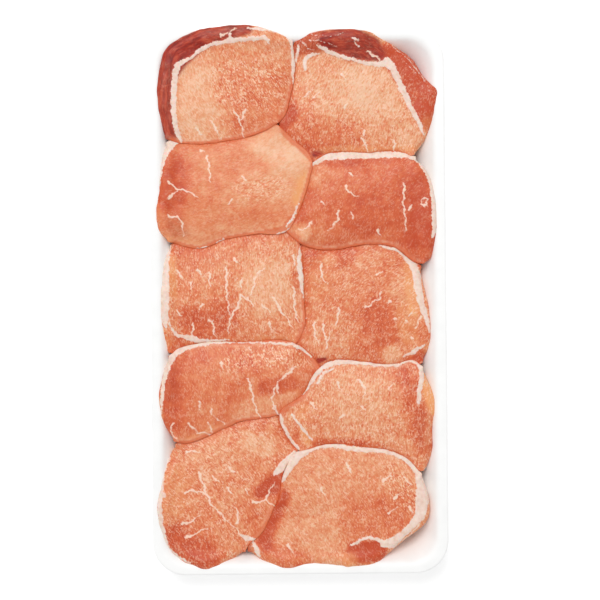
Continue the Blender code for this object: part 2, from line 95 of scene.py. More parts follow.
CHOPS = {
    "left_1": {
        "grain": (118, 3), "redness": 0.42, "marbling": 0.75,
        "nudges": [(-40, 188, 24, 0, 3)],
        "mottled": [(0.5, 12, [(-45, 150, 8), (-20, 150, 8)])],
        "fat": [
            [(-80, 111.5, 1.1), (-83.3, 120, 1.6), (-84.4, 132, 1.8), (-84.2, 145, 1.9),
             (-83.2, 157, 2.1), (-81.5, 162.5, 2.2), (-77, 165.5, 1.2), (-72, 168, 1), (-65, 173.5, 1.2),
             (-57, 176.8, 1.2), (-50, 178, 1.3), (-45, 179, 1.7), (-38, 179.5, 1.1), (-30, 180, 1.4),
             (-22, 180.7, 1.4), (-19, 179, 0.9), (-18.3, 176.5, 0.4)],
            [(-45, 180, 1.3), (-45, 183.2, 0.8)],
            [(-33, 187.2, 0.6), (-22, 186.4, 1.2), (-12, 185.3, 1), (-6, 182.5, 1.1), (-3, 178, 1.3),
             (-1.8, 170, 1.6), (-1.8, 164, 1.5), (-2.6, 157, 0.9), (-2.2, 150, 0.3)],
        ],
        "veins": [
            [(-43, 131), (-40, 126), (-39, 124.5), (-37.5, 118), (-36.5, 113)],
            [(-35.5, 132), (-37, 128), (-39, 125)], [(-59, 125), (-55, 118), (-52, 112)],
            [(-70, 120), (-65, 115)], [(-52, 182), (-40, 187)],
        ],
        "maroon": [
            (0.92, 2.5, [(-86, 112, 2.5), (-92, 122, 6.5), (-93, 140, 7), (-92, 156, 8), (-84, 170, 10),
                         (-72, 180, 9), (-58, 185, 7), (-45, 187, 6), (-34, 187, 3)]),
            (0.35, 4, [(-86, 172, 4), (-74, 172, 3), (-70, 177, 3)]),
        ],
        "shades": [
            (-0.26, 14, [(-70, 150, 6), (-68, 128, 8)]), (0.16, 14, [(-28, 128, 8), (-10, 150, 3)]),
            (0.12, 14, [(-42, 148, 6)]), (0.1, 8, [(-40, 118, 4)]),
        ],
        "amber": [],
    },
    "right_1": {
        "grain": (70, 2), "redness": 0.32, "marbling": 1.0,
        "nudges": [(96, 128, 10, 1.4, 0)],
        "mottled": [],
        "fat": [
            [(6.5, 159.5, 0.5), (5.5, 164, 1.3), (7, 167.5, 1.6), (11, 169.7, 0.9), (16, 170.3, 0.5)],
            [(14.5, 175.5, 0.4), (18, 174, 1.2), (22, 171.5, 1.6), (27, 169.5, 1.3), (33, 167.5, 1.3),
             (40, 165.7, 1), (45, 164, 1.1), (52, 162.8, 1.4), (58, 162.3, 1.8), (62, 164, 3),
             (66, 160, 2.7), (68, 156, 2.3), (70.5, 150, 2), (73, 145, 2.2), (76, 139, 1.8),
             (78, 133, 1.6), (81, 128, 1.6), (84, 122, 1.4), (86, 117, 1), (87, 114, 0.5)],
            [(2, 177, 0.5), (1, 172, 0.8), (-0.5, 165, 0.6)], [(39, 179.5, 0.5), (42.5, 178.8, 0.8)],
            [(39.5, 178, 0.4), (43, 174, 0.4)], [(10, 183, 0.1), (24, 181, 0.1), (34, 184, 0)],
            [(9, 179, 0.2), (18, 178, 0.1), (28, 174.5, 0)],
            [(3, 179, 0.3), (8, 174, 0.2), (13, 172.5, 0.2)],
            [(66, 175, 0.1), (78, 165, 0.2), (88, 152, 0.2), (93, 140, 0.1)],
            [(74, 165, 0.1), (82, 156, 0.1), (87, 146, 0)],
        ],
        "veins": [
            [(44, 112), (46.5, 109.5), (48, 107), (48.5, 103)], [(46, 117), (46.5, 113)],
            [(67, 110), (67, 103)], [(5.5, 141), (8, 143.5), (10, 144)], [(11.5, 140.5), (15, 143.5)],
            [(31, 156), (34, 152.5)], [(34, 135), (33, 131.5)], [(49, 171), (58, 165.5)],
            [(-4, 112), (1, 107), (7, 102)],
        ],
        "maroon": [
            (0.95, 3.5, [(22, 179, 4), (28, 178, 7), (40, 176, 9), (50, 173, 7), (56, 169, 3)]),
            # Painted shade in the dark gap where right_1, right_2 and left_2 meet; then cap muscle.
            (1, 1.5, [(12, 101.5, 1.2), (17, 102.5, 0.4)]), (0.4, 4, [(2, 177, 5), (12, 180, 8)]),
        ],
        "shades": [
            (0.8, 4, [(62, 170, 4), (75, 160, 9), (87, 143, 9), (91, 124, 5)]),
            (0.45, 5, [(3, 176, 4), (12, 180, 6)]), (0.5, 5, [(-12, 121, 2), (-5, 130, 3)]),
            (0.3, 16, [(-4, 122, 8), (12, 112, 6)]), (-0.1, 14, [(36, 146, 8)]),
            (0.22, 10, [(38, 119, 5)]), (-0.15, 12, [(52, 142, 12)]),
            (0.1, 8, [(14, 106, 3), (60, 106, 2)]), (-0.14, 5, [(76, 153, 2), (82, 140, 1)]),
        ],
        "amber": [(0.3, 5, [(90, 121, 2)]), (0.35, 2.5, [(18, 104.5, 1), (50, 104, 1), (82, 105, 1)])],
    },
    "left_2": {
        "grain": (20, -2), "redness": 0.45, "marbling": 0.35,
        "nudges": [(-94, 52, 12, -1.2, 0), (-10, 48, 12, 0.5, -3)],
        "mottled": [(0.7, 7, [(-36, 77, 3), (-14, 79, 3)])],
        "fat": [
            [(-72, 114, 0.5), (-82, 112, 1.8), (-87.5, 108.5, 3.2), (-91.8, 102, 3), (-94.4, 92, 2.1),
             (-95.8, 80, 1.2), (-96.6, 70, 0.4)],
            [(-70, 37.2, 0.5), (-60, 37.9, 1), (-55, 40.6, 1), (-51, 43.6, 0.5)],
            [(-15, 46.6, 0.3), (-8, 48, 0.9), (-5.5, 51, 0.4)],
            [(-8, 51.5, 0.4), (-3, 58, 0.7), (0.5, 67, 0.5)],
        ],
        "veins": [
            [(-88, 83), (-84, 79), (-82, 77.5), (-76, 77), (-71, 74), (-68, 72)],
            [(-89, 71.5), (-85, 75), (-82, 77.5)],
            [(-89, 59.5), (-82, 58.5), (-80, 56), (-79, 50), (-79, 46)], [(-67, 105), (-64, 104)],
            [(-62, 101), (-61, 95), (-60, 88), (-60, 82)], [(-38, 87), (-36, 83)], [(-45, 70), (-48, 67)],
        ],
        "maroon": [(0.25, 6, [(-85, 55, 2), (-82, 48, 3)])],
        "shades": [
            (0.42, 10, [(-87, 92, 6), (-86, 74, 6)]), (0.12, 8, [(-90, 58, 5)]),
            (0.08, 20, [(-40, 80, 15)]), (-0.34, 14, [(-4, 104, 8), (-20, 112, 6)]),
            (-0.04, 12, [(-45, 54, 10)]), (-0.16, 10, [(-34, 78, 6), (-14, 80, 6)]),
            (-0.4, 4, [(-30, 45, 1), (-14, 47, 1.5), (-4, 50, 2)]),
        ],
        "amber": [
            (0.75, 5, [(6, 83, 2.5), (1, 70, 2)]), (0.3, 3, [(-88, 43, 1), (-60, 37, 1), (-30, 45, 1)]),
        ],
    },
    "right_2": {
        "grain": (62, 4), "redness": 0.74, "marbling": 0.5,
        "nudges": [],
        "mottled": [],
        "fat": [
            [(-2.5, 80, 0.3), (1, 86, 0.6), (5, 91.5, 2.2), (11, 96.8, 3.1), (20, 99.6, 2.5),
             (36, 100.5, 2.5), (52, 100.6, 2.4), (66, 100.7, 2.2), (77, 99.8, 1.8), (84, 96, 1.9),
             (89, 89, 1.9), (92, 80, 1.8), (93.8, 66, 2), (93.8, 54, 2), (93.5, 47, 1.3), (92.3, 43, 0.4)],
        ],
        "veins": [
            [(73.3, 80), (73, 72), (72.5, 66), (73.5, 60), (74.3, 52), (73.7, 47)], [(76, 62), (79, 65)],
            [(84.5, 66), (86, 64.5), (88.5, 65.5), (89, 69), (86, 70.5), (84.5, 66)],
            [(27.5, 62), (28, 57), (25, 52.5), (21, 48)], [(9.5, 54), (6, 50.5), (4, 49), (1, 50)],
            [(33.5, 79), (35, 75), (38, 72.8), (42, 71.5)], [(35.5, 88), (37.5, 86)],
            [(37, 60), (38, 57)], [(55, 49), (57, 45)], [(16, 68), (18, 66.5)],
        ],
        "maroon": [],
        "shades": [
            (0.24, 12, [(84, 74, 6), (85, 45, 6)]), (-0.12, 10, [(14, 80, 6), (20, 90, 5)]),
            (-0.25, 6, [(7, 85, 4), (13, 90, 3)]), (-0.15, 8, [(10, 46, 6)]),
            (-0.3, 4, [(-3, 51, 2), (4, 48, 2)]), (-0.06, 8, [(34, 90, 5)]),
            (0.25, 3, [(20, 95.5, 1), (27, 94.5, 1), (42, 96.5, 1)]), (0.1, 10, [(50, 60, 10)]),
        ],
        "amber": [],
    },
    "left_3": {
        "grain": (97, 2), "redness": 0.48, "marbling": 0.9,
        "nudges": [(-94, 8, 28, -1.6, 0)],
        "mottled": [],
        "fat": [
            [(-88.5, 39, 1.2), (-91, 30, 2.2), (-91.6, 15, 2.9), (-91.9, 0, 3.1), (-92.2, -10, 2.7),
             (-91.5, -17, 1)],
            [(-89, -14, 0.5), (-87, -18.5, 0.9), (-84.7, -22.2, 0.9), (-80, -23.4, 1), (-74, -24.8, 2.2),
             (-69, -26.2, 1.5), (-56.5, -26.5, 0.7), (-48, -26, 0.4)],
            [(1.2, 38, 0.4), (1, 31, 1), (0.6, 26, 1.6), (1.8, 18, 1.8), (2.4, 11, 1.4), (3.4, 3, 0.4)],
        ],
        "veins": [
            [(-40, 5), (-35, 1.8), (-31, 10), (-29, 18), (-23, 24)],
            [(-40, 5), (-41, -2), (-46, -9.3), (-47.9, -15), (-49, -22)], [(-35, 1.8), (-31, -2.5)],
            [(-49.5, 23.5), (-49.4, 7), (-48.4, -2.6), (-47.4, -10.2)], [(-61.2, 20.8), (-60.9, 9.8)],
            [(-83.9, 21.7), (-79.1, 16.9)], [(-73.6, 14.1), (-74.4, 8.6)], [(-66.2, -1.8), (-68.3, -5.2)],
            [(-61.5, -12.1), (-59.2, -13.5), (-58.2, -21.8), (-56.8, -24.5)],
            [(-16.8, 2.6), (-12.7, -5.7), (-7.3, -12.6), (-4.6, -18.1)],
            [(-3, 9.3), (-2.8, -3.1), (-1.8, -9.9), (0.2, -14.8)], [(-39.3, 15.1), (-39.4, 8.9)],
            [(-72.5, -15), (-74, -24)], [(-84, -6), (-81, -9)], [(-3, 32), (-2.5, 24)],
            [(-70, 23), (-67, 19)], [(-44, 30), (-40, 26)], [(-25, -2), (-20, -7)],
            [(-21, -14), (-18, -20)],
        ],
        "maroon": [],
        "shades": [
            (0.34, 10, [(-74, -11, 4), (-66, -15, 6), (-54, -12, 4)]), (-0.26, 14, [(-20, 12, 12)]),
            (0.25, 3, [(-86, -27, 5)]), (0.12, 10, [(-72, 34, 8)]), (0.2, 5, [(-46, 2, 2), (-46, -4, 2)]),
            (0.3, 4, [(-2, 18, 1.5), (0, 8, 1)]),
        ],
        "amber": [
            (0.3, 3, [(-90, -27, 2)]), (0.25, 3, [(-30, -26.5, 1), (-4, -26, 1)]),
            (0.4, 3, [(-87, 30, 1), (-86, 5, 1)]),
        ],
    },
    "right_3": {
        "grain": (55, 6), "redness": 0.52, "marbling": 0.9,
        "nudges": [],
        "mottled": [],
        "fat": [
            [(55, 39.5, 0.5), (60, 36.8, 0.8), (67, 35.6, 1), (71, 34, 1.4), (75, 29.5, 1.8),
             (79, 25, 2.4), (82, 17, 3), (82.7, 8, 2.7), (84, 0, 2.2), (85.7, -6, 2), (88.5, -14, 1.6),
             (90, -21, 1)],
            [(72, -38.5, 0.5), (78.5, -36, 1.3), (83, -32.5, 1.1), (88, -30, 0.5)],
        ],
        "veins": [
            [(46.5, -3.5), (49, -3.8), (51.2, -0.8), (55.5, 0.8), (57.4, 6.5)], [(63.5, 0), (61, -1.5)],
            [(10.6, -15), (10.8, -22), (13.8, -30)], [(16.5, -15), (17.5, -23), (19.8, -28), (22.3, -20)],
            [(19.8, -28), (18.5, -33)], [(27.8, -5), (26.8, -12), (25.5, -17)],
            [(15.8, 25.5), (16, 17), (20.3, 11.5)], [(84, -11), (82.5, -15), (80.5, -20)],
            [(66, -12), (68, -13.5)], [(77.5, -8.5), (76, -11)], [(73.5, -14), (74.5, -16)],
            [(54, 18), (58, 19.5)], [(0.5, -12), (5, -11.8)], [(78, -26), (80, -26)],
        ],
        # Painted shade in the dark gap where right_3, right_4 and left_4 meet.
        "maroon": [(1, 1.5, [(13.5, -41.2, 1.2), (18, -40, 0.4)])],
        "shades": [
            (0.3, 16, [(54, -10, 4), (57, -26, 3)]), (-0.08, 12, [(20, -28, 10)]),
            (-0.14, 10, [(76, 2, 8)]), (0.24, 6, [(33, 33, 4), (12, 30, 4)]), (-0.35, 4, [(22, 29, 3)]),
            (-0.4, 4, [(64, -38, 5)]), (0.1, 5, [(84, -20, 2), (86, -24, 2)]), (0.35, 4, [(84, -38, 3)]),
        ],
        "amber": [
            (0.5, 3.5, [(76, 24, 1), (78, 10, 3), (80, -6, 2)]), (0.3, 4, [(74, -10, 5), (76, -24, 4)]),
            (0.4, 3, [(89, -33, 2)]), (0.15, 6, [(16, 24, 3), (14, 8, 3)]),
        ],
    },
    "left_4": {
        "grain": (100, -2), "redness": 0.58, "marbling": 0.55,
        "nudges": [],
        "mottled": [(0.8, 7, [(-46, -41, 3), (-24, -38, 4), (-2, -38, 4)])],
        "fat": [
            [(-46, -27.6, 0.6), (-60, -27.8, 1.2), (-74, -29.6, 1.8), (-84.4, -34, 2.2), (-90, -42, 2.2),
             (-92.8, -53, 1.4), (-94.2, -65, 1.2), (-94.6, -76, 0.4)],
            [(-46, -27.6, 0.5), (-20, -28.4, 0.6), (-4, -29.6, 1), (3, -32.5, 1.4), (8.4, -38, 0.7)],
            [(-12.6, -81, 0.5), (-15, -77, 0.6), (-17, -72, 0.4)],
        ],
        "veins": [
            [(-5.6, -47.6), (-10, -51.5), (-14.5, -55.2), (-16.7, -59.2), (-18.8, -67.4), (-17.5, -74.3),
             (-14.8, -77)],
            [(-35.1, -52.9), (-32.5, -61.8), (-31.2, -70.1), (-29.9, -73.5), (-27.2, -79.7)],
            [(-60.7, -73.2), (-60.1, -77.3), (-55.3, -81.5), (-51.9, -83.6)],
            [(-68.9, -68.3), (-68.3, -73.8)], [(-87, -83), (-89, -88.7), (-83.6, -94.3)],
            [(-75.9, -83.4), (-70.5, -89.6), (-63, -90.3), (-57.5, -93.8)], [(-15.5, -58), (-14, -64)],
            [(-54, -41), (-52, -46)], [(-34, -31), (-32, -35)], [(-6, -47.4), (-2, -44)],
            [(-63, -83), (-60, -90)],
        ],
        "maroon": [(0.2, 5, [(-89, -48, 2), (-87, -64, 2)])],
        "shades": [
            (0.28, 9, [(-89, -44, 3), (-88, -66, 4), (-90, -84, 3)]), (0.04, 9, [(-38, -42, 6)]),
            (0.2, 6, [(-76, -37, 2), (-68, -36, 2)]), (-0.08, 9, [(-12, -44, 6)]),
            (0.3, 4, [(-23, -59, 3), (-8, -56, 4)]),
            (-0.2, 5, [(-42, -74, 3), (-12, -68, 4), (-4, -66, 3)]),
            (0.15, 5, [(-44, -66, 3), (-50, -76, 3)]),
        ],
        "amber": [
            (0.6, 2.5, [(-97, -67, 1), (-96.5, -78, 1)]),
            (0.35, 3, [(-76, -95, 1), (-58, -88, 1), (-40, -84.5, 1)]),
        ],
    },
    "right_4": {
        "grain": (85, 2), "redness": 0.46, "marbling": 1.0,
        "nudges": [],
        "mottled": [],
        "fat": [
            [(3, -64, 0.4), (6, -58, 1.4), (10.4, -50, 2.9), (15, -45, 3.1), (20, -43.2, 2.1),
             (30, -41.8, 1.6), (44, -42.6, 1.5), (54, -44.4, 1.2), (68, -44.6, 0.9), (73, -42.5, 0.9),
             (77, -40.8, 1.3), (82, -43.5, 1.7), (84.5, -48, 1.7), (84, -54, 1.6), (82.3, -62, 1.5),
             (82, -70, 1.2)],
            [(12, -57, 0.6), (17, -49, 0.9), (24, -46.5, 0.6)],
            [(-13.3, -78, 0.9), (-12, -84, 1.3), (-9.5, -89.5, 1.1), (-6, -95.5, 1.1), (-1.5, -101.5, 1.4)],
            [(-5.5, -77.5, 0.5), (1.2, -86.2, 1), (8.4, -95.6, 0.6)],
        ],
        "veins": [
            [(26, -56), (30, -62)], [(40, -54), (46, -60), (44, -66)], [(63, -59), (61, -62)],
            [(43, -72), (46, -76)], [(30, -78), (27, -82)], [(8, -70), (12, -74)],
        ],
        "maroon": [(0.2, 5, [(84, -82, 2), (86, -98, 2)])],
        "shades": [
            (0.3, 7, [(74, -50, 4), (78, -66, 4), (82, -80, 4), (86, -98, 4)]),
            (0.12, 4, [(-5, -86, 2), (0, -94, 2)]), (-0.15, 14, [(40, -70, 14)]),
            (0.25, 5, [(14, -99, 2), (48, -101, 2)]), (-0.3, 3, [(88, -82, 0.5), (88, -98, 0.5)]),
        ],
        "amber": [
            (0.75, 3, [(87, -54, 2), (89, -64, 2.5), (93, -75, 2.5)]),
            (0.3, 3, [(4, -74, 2), (0, -80, 1)]), (0.5, 2.5, [(2, -88, 1), (5, -97, 1.5)]),
        ],
    },
    "left_5": {
        "grain": (-55, 3), "redness": 0.5, "marbling": 0.95,
        "nudges": [(-4, -100, 9, 5, 3), (-44, -171, 8, 2.4, -2.4), (-66, -181, 14, 0, -1.2)],
        "mottled": [],
        "fat": [
            [(-4, -104, 1), (-9, -110, 2.9), (-14, -115.5, 2.8), (-18, -118.5, 1)],
            [(-41, -160.5, 0.8), (-37, -162.5, 1.8), (-32, -163.5, 0.8)],
            [(-90, -107, 0.6), (-94, -116, 1.4), (-96, -128, 1.8), (-96.6, -140, 1.7), (-95.8, -150, 1.6),
             (-94, -160, 1.5), (-91, -168, 1), (-84.5, -175, 0.9), (-76, -179, 0.5)],
            [(-93.5, -131.9, 1.6)],
        ],
        "veins": [
            [(-70, -116.4), (-64, -132.6), (-62, -137.7), (-55.9, -144.6), (-48.4, -152.2),
             (-43.7, -156.4), (-41, -161.2)],
            [(-79.1, -130.7), (-75, -129.3), (-68.1, -130.4), (-63.8, -132.8)],
            [(-43.6, -152.3), (-42.9, -145.4), (-45.6, -140.6)],
            [(-82.1, -152.6), (-75.2, -150.6), (-69, -146.5)],
            [(-32.5, -138), (-23.6, -136.7), (-17.4, -141.6)],
            [(-23.6, -136.7), (-21.5, -130.5), (-17.3, -124.4)], [(-37.2, -128.3), (-36.6, -132.4)],
            [(-77.5, -102.6), (-70, -102.7)], [(-48.8, -114.5), (-43.3, -118)],
            [(-80, -162), (-72, -159), (-64, -155)], [(-50, -128), (-46, -132)],
            [(-60, -120), (-56, -124)],
        ],
        "maroon": [],
        "shades": [
            (0.42, 12, [(-84, -165, 6), (-66, -176, 5)]),
            (0.75, 5, [(-27, -131, 1.5), (-20, -126, 2.5), (-15, -122, 1.5)]),
            (-0.12, 12, [(-60, -104, 10)]), (-0.3, 5, [(-36, -95, 3), (-24, -100, 4)]),
            (0.1, 5, [(-30, -88, 2)]), (0.12, 6, [(-38, -144, 3), (-28, -150, 4)]),
        ],
        "amber": [(0.3, 3, [(-30, -165, 1), (-20, -148, 1)]), (0.2, 6, [(-84, -120, 4), (-86, -140, 4)])],
    },
    "right_5": {
        "grain": (-62, 2), "redness": 0.38, "marbling": 0.75,
        "nudges": [(-4, -107, 7, -2.4, 2.3), (-36, -169, 5, -2, -2), (51, -178, 10, 1, -2.6),
                   (-12, -181, 12, 0, -1.2)],
        "mottled": [(0.6, 7, [(64, -122, 3), (74, -136, 4)])],
        "fat": [
            [(-12.5, -122, 1.8), (-8.5, -114, 3.3), (-1.5, -106, 3.3), (7, -101.4, 2), (16, -99.8, 1.3),
             (24, -99.2, 1.5), (32, -101, 1.6), (44, -102.6, 1.8), (54, -102.6, 1.8), (64, -105.2, 1.3),
             (74, -110.2, 1.5), (81, -118, 2.3), (83.5, -128, 3.8), (84, -137, 4.8), (82, -148, 3.6),
             (76, -155, 2.2), (70, -160.5, 2.4), (63, -166.5, 3.4), (57, -167, 2.6)],
            [(35, -168, 0.7), (41, -164, 0.9), (47, -162.5, 1), (53, -164, 1.2), (57, -166.5, 2)],
            [(-32.5, -166, 1), (-31, -169.5, 1.7), (-28.5, -174.5, 1.1)],
        ],
        "veins": [
            [(-9, -166.5), (-5.4, -172.3)], [(82, -154), (76, -160), (70, -165)],
            [(32, -112), (35, -118)], [(56, -124), (62, -120)], [(64, -136), (70, -131)],
            [(60, -146), (67, -142)], [(14, -128), (17, -133)], [(72, -122), (76, -127)],
            [(75, -142), (78, -146)],
        ],
        # Painted shade in the notch between left_5, this chop and the tray's wall.
        "maroon": [(0.6, 2.5, [(-38, -167, 2), (-37, -172, 2)])],
        "shades": [
            (0.6, 4, [(38, -173, 5), (52, -172, 5)]), (0.24, 14, [(45, -150, 10), (68, -146, 8)]),
            # Painted shadow of left_5's flap along this chop's left edge.
            (0.5, 5, [(-11, -134, 2), (-19, -148, 3), (-25, -166, 3)]),
            (0.3, 7, [(-20, -174, 3), (-3, -178, 4)]),
        ],
        "amber": [(0.4, 4, [(33, -178, 3)]), (0.3, 3, [(80, -155, 2), (70, -164, 2)])],
    },
}


# Nodes and objects ------------------------------------------------------------------------------------

MATH = "ShaderNodeMath"
RANGE = "ShaderNodeMapRange"
NOISE = "ShaderNodeTexNoise"
MIX = "ShaderNodeMix"
MOVE = "GeometryNodeSetPosition"
XYZ = "ShaderNodeCombineXYZ"


def hex_colour(text):
    """sRGB hex text as a linear colour with full alpha."""
    channels = [int(text[i:i + 2], 16) / 255 for i in (0, 2, 4)]
    return (*(c / 12.92 if c <= 0.04045 else ((c + 0.055) / 1.055) ** 2.4 for c in channels), 1.0)


def add_node(tree, kind, inputs=(), stops=(), **settings):
    """Add a node with its settings, and link or set its inputs; stops fill a colour ramp.

    A node given as a value stands for its first output.
    """
    node = tree.nodes.new(kind)
    for name, value in settings.items():
        setattr(node, name, value)
    for socket, value in dict(inputs).items():
        value = value.outputs[0] if isinstance(value, bpy.types.Node) else value
        if isinstance(value, bpy.types.NodeSocket):
            tree.links.new(value, node.inputs[socket])
        else:
            node.inputs[socket].default_value = value
    for i, (position, text) in enumerate(stops):
        element = node.color_ramp.elements[i] if i < 2 else node.color_ramp.elements.new(1.0)
        element.position = position
        element.color = hex_colour(text)
    return node


def new_material(name, values):
    """Material whose shader has these values on its sockets; gives the material, its tree and its shader."""
    material = bpy.data.materials.new(name)
    material.use_nodes = True
    shader = material.node_tree.nodes["Principled BSDF"]
    for socket, value in values.items():
        shader.inputs[socket].default_value = value
    return material, material.node_tree, shader


def new_geometry_tree(name, inputs):
    """Geometry tree with named number or material inputs; gives the tree and its input sockets."""
    tree = bpy.data.node_groups.new(name, "GeometryNodeTree")
    tree.interface.new_socket("Geometry", in_out="INPUT", socket_type="NodeSocketGeometry")
    for label, value in inputs.items():
        kind = "Float"
        if isinstance(value, bpy.types.Material):
            kind = "Material"
        elif isinstance(value, int):
            kind = "Int"
        tree.interface.new_socket(label, in_out="INPUT", socket_type="NodeSocket" + kind)
    tree.interface.new_socket("Geometry", in_out="OUTPUT", socket_type="NodeSocketGeometry")
    return tree, tree.nodes.new("NodeGroupInput").outputs


def close_geometry_tree(tree, geometry, material):
    """End the tree in Realize Instances and Set Material."""
    solid = add_node(tree, "GeometryNodeRealizeInstances", {"Geometry": geometry})
    painted = add_node(tree, "GeometryNodeSetMaterial", {"Geometry": solid, "Material": material})
    add_node(tree, "NodeGroupOutput", {"Geometry": painted})


def apply_modifiers(piece):
    """Turn the piece into the plain mesh that its modifiers make."""
    graph = bpy.context.evaluated_depsgraph_get()
    shape = piece.evaluated_get(graph)
    piece.data = bpy.data.meshes.new_from_object(shape, preserve_all_data_layers=True, depsgraph=graph)
    piece.modifiers.clear()


def run_geometry_tree(piece, tree, inputs):
    """Turn the piece into the plain mesh that the tree makes of it with these inputs."""
    modifier = piece.modifiers.new(tree.name, "NODES")
    modifier.node_group = tree
    for socket in tree.interface.items_tree:
        if socket.in_out == "INPUT" and socket.name in inputs:
            modifier[socket.identifier] = inputs[socket.name]
    apply_modifiers(piece)


def add_object(name, data):
    thing = bpy.data.objects.new(name, data)
    bpy.context.scene.collection.objects.link(thing)
    return thing


def finish_piece(piece, node):
    piece.data.shade_smooth()
    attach(piece, BODY)
    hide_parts(node)


# Meat's material --------------------------------------------------------------------------------------

FLESH = [(0.0, "EEBE9C"), (0.25, "E8A47A"), (0.5, "E08559"), (0.75, "D6683F"), (1.0, "C54C28")]
MAROON = [(0.30, "7A140A"), (0.50, "A62C1A"), (0.72, "CC5636")]
FAT = [(0.3, "E4C4B2"), (0.5, "EDD3C4"), (0.7, "F2DED2")]

# How far the noises change the redness, the marbling's crowding and the edges of veins and fat.
FIBRES = 1.1
FIBRES_LEAST = 0.05
BLOTCHES = 0.45
CLUMPS = 0.5
CROWDING = 0.45
VEIN_RAGGEDNESS = 1.1
FAT_RAGGEDNESS = 2.6

# Where a noise or a distance starts to show, and where it shows in full.
FLECKS_FROM_TO = (0.77, 0.95)
THREADS_FROM_TO = (0.06, 0.01)
PIECES_FROM_TO = (0.70, 0.84)
VEINS_FROM_TO = (0.90, 0.20)
SEAMS_FROM_TO = (1.65, 0.95)


def make_pork(look):
    """Raw pork loin cut across the grain: translucent and moist, with a soft gloss and pale marbling."""
    material, tree, shader = new_material("raw pork loin", {
        "IOR": 1.38, "Subsurface Weight": 0.3, "Subsurface Radius": (1.0, 0.35, 0.2),
        "Subsurface Scale": 1.5 * MM})
    node = functools.partial(add_node, tree)
    place = node("ShaderNodeTexCoord").outputs["Object"]
    fat, vein, redness, maroon, amber, marbling, crevice_shade, lip = (
        node("ShaderNodeAttribute", attribute_name=name).outputs["Fac"]
        for name in ("fat", "vein", "redness", "maroon", "amber", "marbling", "crevice_shade", "lip"))
    fibres = node("ShaderNodeAttribute", attribute_name="grain").outputs["Vector"]

    # Noises by their place, grain size in millimetres and detail. Those on the fibres are drawn out along
    # them. They show bundles of fibres, because a single fibre is too fine to be seen.
    noises = [
        (place, 9.0, 1.0), (place, 3.0, 2.0), (fibres, look.fibre_size, 2.0),
        (fibres, look.fleck_size, 1.0), (place, 5.0, 2.0), (place, 1.4, 3.0), (fibres, 1.8, 3.0),
        (place, 2.4, 3.0), (fibres, 2.0, 2.0), (place, 1.4, 1.0)]
    clumps, blotches, fibre, fleck, crowd, ragged, streaks, curd, thread, broken = (
        node(NOISE, {"Vector": vector, "W": float(seed), "Detail": detail,
                     "Scale": 1.0 / size if vector == fibres else 1.0 / (size * MM)}, noise_dimensions="4D")
        for seed, (vector, size, detail) in enumerate(noises))

    # Flesh, from pale to red: slow clumps, blotches and fine fibres round the painted redness.
    red = node(MATH, {0: fibre, 1: 0.5}, operation="SUBTRACT")
    strength = node(MATH, {0: marbling, 1: FIBRES * look.fibre_contrast, 2: FIBRES_LEAST},
                    operation="MULTIPLY_ADD")
    red = node(MATH, {0: red, 1: strength, 2: redness}, operation="MULTIPLY_ADD")
    red = node(MATH, {0: blotches, 1: BLOTCHES, 2: red}, operation="MULTIPLY_ADD")
    red = node(MATH, {0: clumps, 1: CLUMPS, 2: red}, operation="MULTIPLY_ADD")
    red = node(MATH, {0: red, 1: 0.5 * (BLOTCHES + CLUMPS)}, operation="SUBTRACT")
    flesh = node("ShaderNodeValToRGB", {"Fac": red}, FLESH)
    streaky = node(MATH, {0: streaks, 1: 0.9, 2: 0.03}, operation="MULTIPLY_ADD")
    dark = node("ShaderNodeValToRGB", {"Fac": streaky}, MAROON)

    # Marbling, crowded in places: flecks along the fibres, and threads where a noise crosses its mean.
    crowded = node(MATH, {0: crowd, 1: CROWDING, 2: fleck}, operation="MULTIPLY_ADD")
    flecks = node(RANGE, {0: crowded, 1: FLECKS_FROM_TO[0], 2: FLECKS_FROM_TO[1]},
                  interpolation_type="SMOOTHSTEP")
    off_mean = node(MATH, {0: node(MATH, {0: thread, 1: 0.5}, operation="SUBTRACT")}, operation="ABSOLUTE")
    threads = node(RANGE, {0: off_mean, 1: THREADS_FROM_TO[0], 2: THREADS_FROM_TO[1]},
                   interpolation_type="SMOOTHSTEP")
    crowded = node(MATH, {0: crowd, 1: CROWDING, 2: broken}, operation="MULTIPLY_ADD")
    pieces = node(RANGE, {0: crowded, 1: PIECES_FROM_TO[0], 2: PIECES_FROM_TO[1]},
                  interpolation_type="SMOOTHSTEP")
    threads = node(MATH, {0: threads, 1: pieces}, operation="MULTIPLY")
    flecks = node(MATH, {0: flecks, 1: threads}, operation="MAXIMUM")
    flecks = node(MATH, {0: flecks, 1: marbling}, operation="MULTIPLY")
    flecks = node(MATH, {0: flecks, 1: look.fleck_strength}, operation="MULTIPLY")

    # Painted highlight: a thin lip is paler, in patches whose mean is a half.
    glow = node(MATH, {0: lip, 1: ragged}, operation="MULTIPLY")
    glow = node(MATH, {0: glow, 1: 2.0 * look.lip_glow}, operation="MULTIPLY")
    # Painted shade: the crease beneath a lip, and the lip's own edge, are redder.
    crease_shade = node(MATH, {0: crevice_shade, 1: look.crease_shade_strength}, operation="MULTIPLY")

    # Veins and seams of fat, with ragged edges.
    wavering = node(MATH, {0: ragged, 1: VEIN_RAGGEDNESS, 2: vein}, operation="MULTIPLY_ADD")
    veins = node(RANGE, {0: wavering, 1: VEINS_FROM_TO[0], 2: VEINS_FROM_TO[1], 4: 0.9},
                 interpolation_type="SMOOTHSTEP")
    wavering = node(MATH, {0: ragged, 1: FAT_RAGGEDNESS, 2: fat}, operation="MULTIPLY_ADD")
    seams = node(RANGE, {0: wavering, 1: SEAMS_FROM_TO[0], 2: SEAMS_FROM_TO[1]},
                 interpolation_type="SMOOTHSTEP")
    white = node("ShaderNodeValToRGB", {"Fac": curd}, FAT)

    # All that lies over the flesh, from the lowest layer up.
    colour = flesh.outputs[0]
